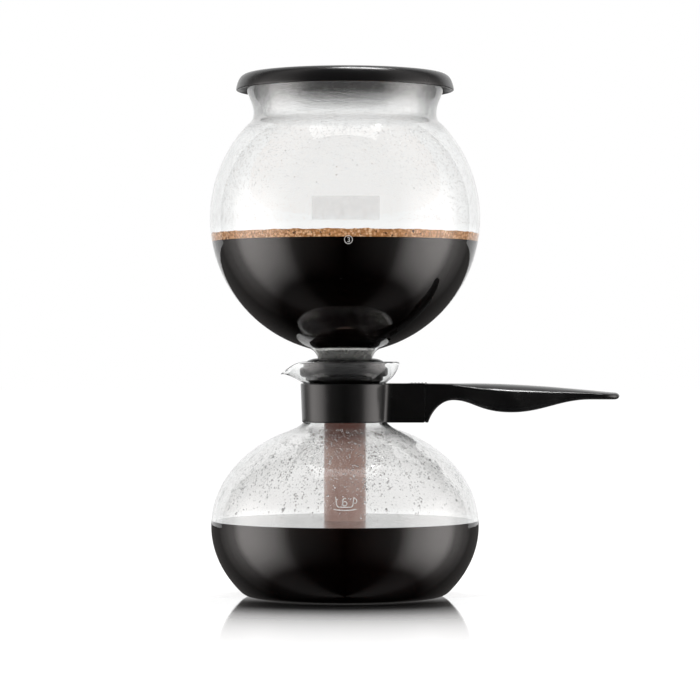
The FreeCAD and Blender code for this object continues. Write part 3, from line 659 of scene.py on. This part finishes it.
def makeGlobe():
    # outer outline, round lip, inner outline and round foot turned about the axis
    s = globeShape
    outer = globeOutline(0, 0)
    inner = globeOutline(s["wall"], s["stemWall"])
    rimMid = (outer[0, 0] + inner[0, 0]) / 2
    lip = arcPath((rimMid, outer[0, 1]), (s["wall"] / 2, s["wall"] / 2), 0, 180, 10)
    foot = arcPath(((outer[-1, 0] + inner[-1, 0]) / 2, globeFoot + 0.8), (0.8, 0.8), 0, -180, 8)
    outline = chain(outer[:-1][::-1], lip, inner[:-1], foot[::-1])[:-1]
    split = len(chain(outer[:-1][::-1], lip)) - 1

    def glassAt(a, b, i):
        # above the coffee it is misted inside and pale outside
        return 0 if a[1] < coffeeTop - 2 else (1 if i >= split else 2)

    turned("globeGlass", outline, 240, [glass, globeMist, paleGlass], "funnel", None, glassAt,
           stands=("globe",), slot="glass")


def wallBand(inset, bottom, top):
    # the part of the globe's inner outline between two heights, from the top down
    line = globeOutline(globeShape["wall"] - inset, globeShape["stemWall"] - inset)
    return line[(line[:, 1] >= bottom) & (line[:, 1] <= top)]


def makeUpperCoffee():
    # from the level down the globe's wall to the filter's rim, which it sits on
    wall = wallBand(0.25, filterTop - 1.6, coffeeTop)
    seatR = wall[-1, 0]
    seat = [(seatR - 0.6, filterTop - 1.6), (seatR - 0.8, filterTop + 0.2), (0, filterTop + 0.2)]
    outline = chain((0, coffeeTop), straight((4, coffeeTop), (wall[0, 0], coffeeTop), 20), wall, seat)
    turned("upperCoffee", outline, 220, [darkCoffee], "funnel", stands=("upper_coffee",), slot="coffee")


def foamWarp(grid):
    # the foam's top gently heaves: sums of sines of x and y, fading out at its lower face
    t = np.clip((grid[..., 2] - coffeeTop) / (foamTop - coffeeTop), 0, 1)
    x, y = grid[..., 0], grid[..., 1]
    slow, middle = np.sin(x * 0.31 + 1) * np.sin(y * 0.27), 0.6 * np.sin(x * 0.83 + y * 0.6)
    heave = slow + middle + 0.4 * np.sin(y * 1.9 - x * 1.1)
    return np.stack([x, y, grid[..., 2] + t * (0.28 * heave - 0.55)], -1)


def makeFoamBand():
    # a disc between the coffee's level and the foam's, edged by the globe's wall
    wall = wallBand(0.25, coffeeTop, foamTop)
    wall = chain((wall[0, 0] + 0.1, foamTop), wall, (wall[-1, 0], coffeeTop - 0.1))
    top = straight((wall[0, 0], foamTop), (2, foamTop), 60)
    foot = coffeeTop - 0.1
    outline = chain((0, foamTop), top[::-1], wall, straight((wall[-1, 0] - 1, foot), (3, foot), 6), (0, foot))
    turned("cremaBand", outline, 260, [crema], "funnel", foamWarp, stands=("coffee_foam",), slot="foam")


def makeStemCoffee():
    # a rod inside the stem, from just above the hook to just under the filter
    s = globeShape
    r = s["stem"] - s["stemWall"] + 0.2
    foot = high("chain_hook")[2] + 0.4
    outline = chain((0, foot), straight((3, foot), (r - 0.5, foot), 5),
                    (r, foot + 0.5), straight((r, foot + 3), (r, filterBottom - 1), 40),
                    (r - 1, filterBottom - 0.4), (0, filterBottom - 0.4))
    turned("stemCoffee", outline, 96, [stemBrew], "funnel", stands=("stem_coffee",), slot="coffee")


makeGlobe()
makeUpperCoffee()
makeFoamBand()
makeStemCoffee()
globeWall = globeOutline(globeShape["wall"], globeShape["stemWall"])
makeDroplets("globeDroplets", globeWall[globeWall[:, 1] > globeMiddle], globeSpots(), "funnel")
print("globe made")


# gasket

gasketShape = {"dome": 24.0, "lip": 25.8, "lipRound": 1.8, "lipTall": 5.4, "waist": 2.9, "plug": 21.1,
               "taper": 1.4, "tail": 21.0, "rib": 0.5, "ribPitch": 5.0, "ribbed": 15.0}


def makeGasket():
    # dome, rolled lip, and a tapered plug whose ribs are the positive half of a cosine, squared
    s = gasketShape
    lipTop = carafeRim - 1.6
    lipLow = lipTop - s["lipTall"]
    lipRadii = (s["lipRound"], s["lipRound"])
    lipR = s["lip"] - s["lipRound"]
    plugTop = collarTop + 1
    tail = collarTop - s["tail"]
    heights = np.linspace(plugTop, tail, 60)
    wave = np.cos((plugTop - heights - 3) * 2 * math.pi / s["ribPitch"])
    ribs = s["rib"] * np.maximum(0, wave) ** 2 * (heights > plugTop - s["ribbed"])
    slant = s["plug"] - s["rib"] - s["taper"] * (plugTop - heights) / (plugTop - tail)
    bore = globeOutline(-0.05, -0.05)
    bore = bore[(bore[:, 1] <= gasketTop) & (bore[:, 1] >= tail)][::-1]
    outline = chain(
        bezier((globeShape["neck"] + 0.1, gasketTop), (18.6, gasketTop), (s["dome"] - 1, gasketTop - 0.8),
               (s["dome"], carafeRim - 0.1), count=16),
        (s["dome"], lipTop + 0.4), (s["dome"] + 0.1, lipTop),
        arcPath((lipR, lipTop - s["lipRound"]), lipRadii, 90, 0, 10),
        arcPath((lipR, lipLow + s["lipRound"]), lipRadii, 0, -90, 10),
        (s["lip"] - s["waist"] + 0.3, lipLow), (s["lip"] - s["waist"], lipLow - 0.3),
        (s["lip"] - s["waist"], (lipLow + plugTop) / 2), np.column_stack([slant + ribs, heights]), bore)
    turned("gasketRubber", outline, 160, [rubber], "funnel", stands=("gasket",), slot="black_rubber")


makeGasket()
print("gasket made")


# filter cone

filterShape = {"wall": 0.7, "rimRadius": 19.6, "hole": 3.2, "teeth": 90, "toothTall": 0.3}


def makeFilterCone():
    # a thin cone with small teeth that stand round its rim
    wall, hole = filterShape["wall"], filterShape["hole"]
    near = globeOutline(globeShape["wall"] - 0.1, globeShape["stemWall"] - 0.1)
    slope = globeShape["lean"]
    base = filterShape["rimRadius"] - slope * (filterTop - filterBottom)
    line = np.column_stack([np.zeros(40), np.linspace(filterBottom, filterTop - 0.1, 40)])
    cone = base + slope * (line[:, 1] - filterBottom)
    order = np.argsort(near[:, 1])
    line[:, 0] = np.minimum(cone, np.interp(line[:, 1], near[order, 1], near[order, 0]))
    inside = line - (wall, 0)
    inside = inside[inside[:, 1] > filterBottom + wall]
    outline = chain((hole, filterBottom), line, (line[-1, 0] - wall / 2, filterTop), inside[::-1],
                    (hole, filterBottom + wall))

    def teeth(grid):
        # the upper edge goes up and down with the cosine of the number of teeth times the angle
        x, y, z = grid[..., 0], grid[..., 1], grid[..., 2]
        t = np.clip((z - filterTop + 1.2) / 1.2, 0, 1)
        wave = np.cos(filterShape["teeth"] * np.arctan2(y, x)) - 1
        return np.stack([x, y, z + filterShape["toothTall"] * t * wave], -1)

    turned("filterCone", outline, 540, [sieve], "funnel", teeth, stands=("filter_cone",), slot="steel")


makeFilterCone()
print("filter made")


# lid

lidShape = {"radius": 65.3, "skirt": 9.8, "wall": 2.0, "plate": 2.0, "dish": 0.6, "boss": 34.0,
            "bossDepth": 14.6, "socket": 13.1, "socketWall": 1.8, "ribs": 6}


def makeLid():
    # dished top and rolled shoulder, then the underside: skirt, boss ring and socket for the stem
    s = lidShape
    under = lidTop - s["plate"] - s["dish"]
    skirt = lidTop - s["skirt"]
    tip = lidTop - s["bossDepth"]
    dish = lidTop - s["dish"]
    inner = s["radius"] - s["wall"]
    r, boss = s["radius"], s["boss"]
    socket, cup = s["socket"], s["socket"] + s["socketWall"]
    outline = chain(
        (0, dish), straight((3, dish), (53, dish), 12),
        bezier((54, dish), (55.5, dish), (56.5, lidTop), (58, lidTop), count=12),
        bezier((58, lidTop), (r - 2.8, lidTop), (r - 0.9, lidTop - 3.6), (r, skirt + 0.8), count=22),
        bezier((r, skirt + 0.8), (r, skirt + 0.2), (r - 0.2, skirt), (r - 0.8, skirt), count=6),
        (inner + 0.4, skirt), (inner, skirt + 0.4), (inner - 0.6, under - 1.2),
        bezier((inner - 0.6, under - 1.2), (inner - 0.7, under - 0.2), (inner - 1.8, under), count=6),
        straight((inner - 2, under), (boss + 0.6, under), 10), (boss, under - 0.6),
        (boss - 0.5, tip + 0.4), (boss - 0.9, tip), (boss - 2.1, tip), (boss - 2.5, tip + 0.4),
        (boss - 2, under - 0.4), (boss - 2.6, under), straight((30, under), (socket + 2.4, under), 8),
        (cup, under - 0.4), (cup, tip + 0.3), (cup - 0.3, tip), (socket + 0.3, tip), (socket, tip + 0.3),
        (socket, under - 0.3), (socket - 0.3, under), (0, under))
    turned("lidCap", outline, 200, [lidPlastic], "lid", stands=("lid",), slot="lid_plastic")


def makeLidRibs():
    # upright plates between the socket and the boss, drawn in a little towards their lower edge
    s = lidShape
    under = lidTop - s["plate"] - s["dish"]
    near, far = s["socket"] + 1, s["boss"] - 1.6
    levels = ((under + 0.2, 0.8), (under - 9.5, 0.6), (under - 10, 0.3))
    corners = np.array([[x, side * half, z] for z, half in levels
                        for x, side in ((near, -1), (far, -1), (far, 1), (near, 1))])
    quads = np.vstack([gridFaces(3, 4), [[0, 1, 2, 3]], [[11, 10, 9, 8]]])
    points, faces = [], []
    for k in range(s["ribs"]):
        a = 2 * math.pi * k / s["ribs"]
        turn = np.array([[math.cos(a), -math.sin(a), 0], [math.sin(a), math.cos(a), 0], [0, 0, 1]])
        points.append(corners @ turn.T)
        faces.append(quads + 12 * k)
    addPiece("lidRibs", np.vstack(points), np.vstack(faces), None, [lidPlastic], "lid", smooth=False,
             slot="lid_plastic")


makeLid()
makeLidRibs()
print("lid made")


# collar

collarShape = {"bore": 23.7, "wallTop": 3.0, "wallLow": 2.1, "half": 9.8, "fillet": 5.0, "round": 0.9}


def collarReach(angle, ring):
    # distance from the axis to the outside of ring or block in a direction, with a round fillet between
    s = collarShape
    half, f = s["half"], s["fillet"]
    centreY = half + f
    centreX = math.sqrt((ring + f) ** 2 - centreY ** 2)
    start = math.atan2(centreY, centreX)
    c, sn = np.cos(angle), np.abs(np.sin(angle))
    a = np.abs(np.arctan2(np.sin(angle), np.cos(angle)))
    flat = half / np.maximum(sn, 1e-9)
    along = centreX * c + centreY * sn
    fillet = along - np.sqrt(np.maximum(f * f - (centreX ** 2 + centreY ** 2 - along ** 2), 0))
    face = jointX / np.maximum(c, 1e-9)
    tangent = math.atan2(half, centreX)
    corner = math.atan2(half, jointX)
    return np.where(a >= start, ring, np.where(a >= tangent, fillet, np.where(a >= corner, flat, face)))


def makeCollar():
    # rows of points round the axis: bore edge, top rounding, side, bottom rounding and back up the bore
    s = collarShape
    corner = math.atan2(s["half"], jointX)
    side = np.concatenate([np.linspace(0, corner, 14), np.linspace(corner + 0.012, 0.62, 30),
                           np.linspace(0.63, 1.0, 34), np.linspace(1.03, math.pi, 60)])
    angles = np.concatenate([side, -side[1:-1][::-1]])
    e = s["round"]
    bevel = np.radians(np.linspace(0, 90, 6))
    height = collarTop - collarBottom

    def ringAt(z):
        return s["bore"] + s["wallLow"] + (s["wallTop"] - s["wallLow"]) * (z - collarBottom) / height

    def level(reach, z):
        return np.stack([reach * np.cos(angles), reach * np.sin(angles), np.full(len(angles), z)], -1)

    def outside(inset, z):
        return level(collarReach(angles, ringAt(z)) - inset, z)

    grid = [level(s["bore"] + 0.4, collarTop)]
    grid += [outside(e * (1 - math.cos(t)), collarTop - e * (1 - math.sin(t))) for t in bevel[::-1]]
    grid += [outside(0, z) for z in np.linspace(collarTop - e, collarBottom + e, 12)[1:-1]]
    grid += [outside(e * (1 - math.cos(t)), collarBottom + e * (1 - math.sin(t))) for t in bevel]
    grid += [level(s["bore"] + 0.4, collarBottom), level(s["bore"], collarBottom + 0.4),
             level(s["bore"], collarTop - 0.4)]
    grid = np.array(grid)
    collar = addPiece("neckCollar", grid.reshape(-1, 3), gridFaces(len(grid), len(angles), True), None,
                      [collarPlastic], "carafe", stands=("neck_collar",), slot="black_plastic")
    sharpen(collar, 32)


def sharpen(piece, degrees):
    # flat shading across edges that turn more than an angle
    piece.data.set_sharp_from_angle(angle=math.radians(degrees))


makeCollar()
print("collar made")


# grip

# waist, belly and tail are (distance from the collar's block, depth of the underside, half width); the
# last crown and squareness are at the grip's tip
gripShape = {"root": 2.1, "waist": (16.8, 10.1, 10.0), "belly": (51.8, 17.4, 14.5),
             "tail": (99.8, 9.7, 11.5), "slope": 27.3, "drop": 5.5, "endRound": 3.3,
             "crownAt": (0, 16.8, 34, 51.8, 76, 99.8), "crown": (0.05, 0.1, 2.2, 2.7, 2.0, 0.9, 0.5),
             "squareAt": (0, 3, 14, 30, 60), "square": (16, 12, 6, 4.2, 4.0, 3.2)}


def alongCurve(x, *poles):
    # height of a Bezier curve at given distances along it
    curve = bezier(*poles, count=120)
    return np.interp(x, curve[:, 0], curve[:, 1])


def eased(x, start, end, leave=0.4, arrive=0.4):
    # a Bezier curve that is level at both of its ends
    reach = end[0] - start[0]
    return alongCurve(x, start, (start[0] + leave * reach, start[1]), (end[0] - arrive * reach, end[1]),
                      end)


def gripSizes(x):
    # at each distance: depths of top and underside below the collar's top, half width, crown, squareness
    s = gripShape
    length = gripTip - jointX
    w, b, t = s["waist"], s["belly"], s["tail"]
    rootDepth = collarTop - collarBottom
    lug = collarShape["half"]
    heel = (s["root"], rootDepth)
    under = np.select(
        [x < s["root"], x < w[0], x < b[0], x < t[0]],
        [np.full_like(x, rootDepth),
         alongCurve(x, heel, (heel[0] + 0.12 * w[0], heel[1] + 0.5 * (w[1] - heel[1])),
                    (w[0] * 0.58, w[1]), w[:2]),
         eased(x, w[:2], b[:2], 0.35, 0.55), eased(x, b[:2], t[:2])], t[1])
    overTip = (length - s["endRound"], s["drop"])
    third = (overTip[0] - s["slope"]) / 3
    over = np.where(x < s["slope"], 0, alongCurve(x, (s["slope"], 0), (s["slope"] + third, 0),
                                                  (overTip[0] - third, 0.5 * s["drop"]), overTip))
    half = np.select([x < s["root"], x < w[0], x < b[0], x < t[0]],
                     [np.full_like(x, lug), eased(x, (s["root"], lug), (w[0], w[2])),
                      eased(x, (w[0], w[2]), (b[0], b[2])), eased(x, (b[0], b[2]), (t[0], t[2]))], t[2])
    centre = length - t[2]
    half = np.where(x > centre, np.sqrt(np.maximum(t[2] ** 2 - (x - centre) ** 2, 0.0)), half)
    end = np.clip((x - overTip[0]) / s["endRound"], 0, 1)
    pinch = np.sqrt(1 - end ** 2)
    middle = (over + under) / 2
    over, under = middle - (middle - over) * pinch, middle + (under - middle) * pinch
    crown = np.interp(x, [*s["crownAt"], length], s["crown"])
    square = np.interp(x, [*s["squareAt"], length], s["square"])
    return over, under, half, crown, square


def makeGrip():
    # closed sections along X: a superellipse whose upper side falls away as a parabola to the long edges
    length = gripTip - jointX
    x = np.concatenate([[0.15, 0.15, 0.5], np.linspace(1.2, 100, 130),
                        length - (length - 100) * np.cos(np.linspace(0, math.pi / 2, 34)[1:])])
    x = np.minimum(x, length - 0.02)
    over, under, half, crown, square = gripSizes(x)
    inset = np.zeros_like(x)
    inset[0], inset[1] = 1.0, 0.35
    a = np.linspace(0, 2 * math.pi, 96, endpoint=False)
    c, sn = np.cos(a)[None, :], np.sin(a)[None, :]
    power = (2 / square)[:, None]
    y = (half - inset)[:, None] * np.sign(c) * np.abs(c) ** power
    up = np.sign(sn) * np.abs(sn) ** power
    middle, tall = ((over + under) / 2)[:, None], ((under - over) / 2 - inset)[:, None]
    parabola = (y / np.maximum(half[:, None], 1)) ** 2
    fall = crown[:, None] * parabola * np.clip(up, 0, 1)
    rise = 0.5 * np.clip(crown, 0, 1)[:, None] * parabola * np.clip(-up, 0, 1)
    z = collarTop - middle + tall * up - fall + rise
    grid = np.stack([jointX + np.repeat(x[:, None], len(a), 1), y, z], -1)
    points = grid.reshape(-1, 3)
    rows, columns = grid.shape[:2]
    ends = np.array([grid[0].mean(0), grid[-1].mean(0)])
    triangles = np.vstack([fan(rows * columns, 0, columns, True),
                           fan(rows * columns + 1, rows - 1, columns, False)])
    grip = addPiece("gripHandle", np.vstack([points, ends]), gridFaces(rows, columns), triangles,
                    [gripPlastic], "carafe", stands=("handle_grip",), slot="black_plastic")
    sharpen(grip, 40)


makeGrip()
print("grip made")


# printed marks

def ribbon(path, width, lift, centre, radii):
    # a flat band along a path of (across, up) on a vessel's front: y = -radius sqrt(1 - across^2 - up^2)
    path = np.asarray(path, float)
    run = np.gradient(path, axis=0)
    run /= np.linalg.norm(run, axis=1)[:, None]
    side = np.column_stack([-run[:, 1], run[:, 0]]) * width / 2
    edge = np.stack([path + side, path - side], 1)
    across, z = edge[..., 0], edge[..., 1]
    share = np.sqrt(np.maximum(1 - (across / radii[0]) ** 2 - ((z - centre) / radii[1]) ** 2, 0))
    front = np.stack([across, -(radii[0] * share + lift), z], -1)
    back = front + (0, lift * 0.9, 0)
    grid = np.concatenate([front, back[:, ::-1]], 1)
    n = len(path)
    points = grid.reshape(-1, 3)
    caps = np.array([[0, 1, 2, 3], [4 * n - 1, 4 * n - 2, 4 * n - 3, 4 * n - 4]])
    return points, np.vstack([gridFaces(n, 4), caps])


def ringPath(x, z, r, count=48):
    return arcPath((x, z), (r, r), 0, 359.9, count)


def markPiece(name, paths, width, centre, radii, body):
    # one piece from several bands
    points, faces, start = [], [], 0
    for path in paths:
        bandPoints, bandFaces = ribbon(path, width, markShape["lift"], centre, radii)
        points.append(bandPoints)
        faces.append(bandFaces + start)
        start += len(bandPoints)
    addPiece(name, np.vstack(points), np.vstack(faces), None, [paint], body, smooth=False, slot="glass")


def sheetRim(sheet):
    # the points round the edge of a grid, in order
    return np.concatenate([sheet[0], sheet[1:, -1], sheet[-1, :-1][::-1], sheet[1:-1, 0][::-1]])


def addPatch(name, patch, centre, radius, material, body):
    # a thin plain label that follows the globe: y = -sqrt(radius squared - x squared - height squared)
    x, z = np.meshgrid(np.linspace(-patch["half"], patch["half"], 40) + patch["shift"],
                       np.linspace(patch["bottom"], patch["top"], 16))
    left = [(radius + lift) ** 2 - x ** 2 - (z - centre) ** 2 for lift in patch["lifts"]]
    sheets = [np.stack([x, -np.sqrt(np.maximum(share, 0)), z], -1) for share in left]
    rows, columns = x.shape
    n = rows * columns
    index = np.arange(n).reshape(rows, columns)
    a = index[:-1, :-1].ravel()
    face = np.stack([a, a + 1, a + columns + 1, a + columns], -1)
    edge = sheetRim(index)
    follow = np.roll(edge, -1)
    side = np.stack([edge, edge + n, follow + n, follow], -1)
    points = np.concatenate([sheet.reshape(-1, 3) for sheet in sheets])
    addPiece(name, points, np.vstack([face, face[:, ::-1] + n, side]), None, [material], body, slot="glass")


markShape = {"lift": 0.06, "numberX": 2.1, "numberZ": 210.6, "ring": 2.3, "numberLine": 0.3, "cupLine": 0.55}
patchShape = {"half": 19.5, "shift": 0.5, "bottom": 222.0, "top": 235.8, "lifts": (0.1, 0.02)}


def makeGlobeMark():
    # the number 3 in a ring
    x, z = markShape["numberX"], markShape["numberZ"]
    three = chain(arcPath((x, z + 0.62), (0.6, 0.62), 150, -90, 12),
                  arcPath((x, z - 0.62), (0.66, 0.62), 90, -150, 12))
    radius = globeShape["radius"] + 0.05
    markPiece("globeMark", [ringPath(x, z, markShape["ring"]), three], markShape["numberLine"], globeMiddle,
              (radius, radius), "funnel")


def makeCarafeMark():
    # the number 6 in a cup with an ear and a saucer
    six = chain(arcPath((0.0, 59.9), (1.2, 2.3), 50, 180, 12), arcPath((0, 59.1), (1.2, 1.2), 180, 540, 24))
    half = chain(straight((5.3, 62.9), (4.7, 58.6), 8),
                 bezier((4.7, 58.6), (4.5, 57.1), (3.0, 57.1), count=10))
    cup = chain(half * (-1, 1), straight((-3.0, 57.1), (3.0, 57.1), 6), half[::-1])
    saucer = bezier((-6.6, 56.0), (-3.5, 55.0), (3.5, 55.0), (6.6, 56.0), count=12)
    ear = arcPath((5.2, 60.6), (1.7, 1.5), 80, -80, 12)
    radii = (carafeShape["wide"] + 0.05, carafeShape["rise"] + 0.05)
    markPiece("carafeMark", [six, cup, saucer, ear], markShape["cupLine"], carafeShape["middle"], radii,
              "carafe")


makeGlobeMark()
makeCarafeMark()
addPatch("globePatch", patchShape, globeMiddle, globeShape["radius"], label, "funnel")
print("marks made")


# CAD nodes that stay

def dress(node, material):
    # a CAD node keeps its own mesh and takes a finish
    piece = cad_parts[node]
    piece.data.materials.clear()
    piece.data.materials.append(material)


for node in ("filter_knob", "filter_post"):
    dress(node, steel)
dress("filter_mesh", sieve)
for node in ("filter_spring", "chain_hook"):
    dress(node, wire)
for node in ("ball_chain", "chain_coupler"):
    dress(node, plated)
dress("lock_slide", gripPlastic)


# floor, light and camera

# (distance from the axis in metres, share of pale glowing floor against mirror with painted shade)
floorPaintedShade = ((0.0, 0.0), (0.061, 0.0), (0.090, 0.01), (0.119, 0.11), (0.148, 0.235), (0.177, 0.34),
             (0.205, 0.43), (0.234, 0.51), (0.263, 0.58), (0.292, 0.66), (0.32, 0.75), (0.37, 1.0))
floorShape = {"reach": 9.0, "drop": 0.0003, "glow": 0.82}


def stagePiece(name, points, faces, material):
    # a mesh of the studio, in metres
    mesh = bpy.data.meshes.new(name)
    mesh.from_pydata(points, [], faces)
    mesh.materials.append(material)
    made = bpy.data.objects.new(name, mesh)
    bpy.context.scene.collection.objects.link(made)
    return made


def addFloor():
    # pale glowing floor; near the foot it is a mirror whose glow is taken away as painted shade, mostly in
    # front of the axis, and both fade with the distance from the axis
    r = Recipe("paleFloor")
    cloud = r.noise(2, 2)
    x, y = r.axes()[:2]
    away = (x * x + y * y) ** 0.5
    stops = [(place, (1 - share,) * 3) for place, share in floorPaintedShade]
    level = r.node("ShaderNodeValToRGB", {"stops": stops}, {0: away})
    # painted shade: in front of the axis the mirror and its missing glow count fully, behind it only a
    # quarter
    mirrorAndPaintedShade = level * r.ramp(0 - y, -0.05, 0.05, 0.25, 1.0)
    # painted shade: no glow where the floor is a mirror
    glow = r.tint(mirrorAndPaintedShade, (1, 1, 1), (0, 0, 0))
    pale = r.tint(cloud, (0.2, 0.2, 0.2), (0.22, 0.22, 0.22))
    material = r.surface(color=r.tint(mirrorAndPaintedShade, pale, (0.98, 0.98, 0.98)), metallic=mirrorAndPaintedShade, roughness=0.06,
                         specular=0.0, glow=glow, glowPower=floorShape["glow"])
    reach, z = floorShape["reach"], -floorShape["drop"]
    corners = [(-reach, -reach, z), (reach, -reach, z), (reach, reach, z), (-reach, reach, z)]
    floor = stagePiece("floor", corners, [(0, 1, 2, 3)], material)
    floor.visible_glossy = False


# (degrees from the front, brightness)
wallGlow = ((0, 0.0), (18, 0.1), (39, 0.24), (47, 0.5), (54, 1.7), (62, 3.0), (75, 4.0), (88, 4.2),
            (98, 3.6), (109, 1.2), (122, 0.5), (136, 0.14), (180, 0.05))
wallTint = (1, 0.955, 0.935)


def makeWallGlow():
    # dark in front and bright at both sides, by the angle from the front; fainter far up and far down
    r = Recipe("studioWall")
    x, y, z = r.axes()
    turn = x.maths("ARCTAN2", x, 0 - y)
    turn = turn.maths("ABSOLUTE", turn) / math.pi
    most = max(level for angle, level in wallGlow)
    stops = [(angle / 180, tuple(level / most * share for share in wallTint)) for angle, level in wallGlow]
    sides = r.node("ShaderNodeValToRGB", {"stops": stops}, {0: turn})
    fade = r.ramp(z, -2.9, -0.3, 0.04, 1.0) * r.ramp(z, 0.4, 1.6, 1.0, 0.25)
    glow = r.tint(fade, (0, 0, 0), sides)
    return r.surface(color=(0.003, 0.003, 0.003, 1), roughness=0.9, specular=0.0, glow=glow, glowPower=most)


def addWall(name, radius, levels, start, stop, material):
    # a curved card, only seen in reflections: x = share radius sin a, y = -share radius cos a
    a = np.radians(np.linspace(start, stop, 72))
    ring = np.stack([radius * np.sin(a), -radius * np.cos(a)], -1)
    points = np.vstack([np.column_stack([ring * share, np.full(len(a), z)]) for share, z in levels])
    n = len(a)
    i = np.arange(n - 1)
    band = np.stack([i, i + 1, i + 1 + n, i + n], -1)
    quads = np.vstack([band + n * level for level in range(len(levels) - 1)])
    card = stagePiece(name, points.tolist(), quads.tolist(), material)
    card.visible_camera = False
    card.visible_transmission = False


def addBox(name, place, width, height, power, glossy):
    # a soft box that faces down
    light = bpy.data.lights.new(name, "AREA")
    light.shape = "RECTANGLE"
    light.size, light.size_y = width, height
    light.energy = power
    box = bpy.data.objects.new(name, light)
    box.location = place
    box.visible_camera = False
    box.visible_glossy = glossy
    bpy.context.scene.collection.objects.link(box)


studio = {"world": 1.0, "topPower": 12, "stripPower": 7.0, "wallRadius": 2.4, "wallTall": 3.0,
          "cameraX": 0.003, "cameraHeight": 0.1473, "distance": 1.77, "lens": 151.7}

scene = bpy.context.scene
world = bpy.data.worlds.new("paleStudio")
world.use_nodes = True
world.node_tree.nodes["Background"].inputs[0].default_value = (1, 1, 1, 1)
world.node_tree.nodes["Background"].inputs[1].default_value = studio["world"]
scene.world = world
scene.view_settings.view_transform = "Standard"

addFloor()
wallCard = makeWallGlow()
around, tall = studio["wallRadius"], studio["wallTall"]
addWall("studioWall", around, [(1.0, -tall), (1.0, tall)], -130, 130, wallCard)
addWall("lowCap", around, [(0.01, -tall - 0.4), (1.0, -tall)], -180, 180, wallCard)
addWall("lowBack", around - 0.02, [(1.0, -tall), (1.0, -0.08)], 128, 232, wallCard)
addWall("frontHood", around + 0.05, [(1.0, tall - 0.1), (0.12, tall + 0.4)], -130, 130, wallCard)
addBox("topBox", (0, 0.1, 1.7), 1.2, 1.2, studio["topPower"], False)
addBox("gripStrip", (0.12, -0.02, 1.0), 0.34, 0.12, studio["stripPower"], True)

lens = bpy.data.cameras.new("lens")
lens.lens = studio["lens"]
lens.sensor_width = 36
camera = bpy.data.objects.new("camera", lens)
camera.location = (studio["cameraX"], -studio["distance"], studio["cameraHeight"])
camera.rotation_euler = (math.radians(90), 0, 0)
scene.collection.objects.link(camera)
scene.camera = camera
print("studio made")
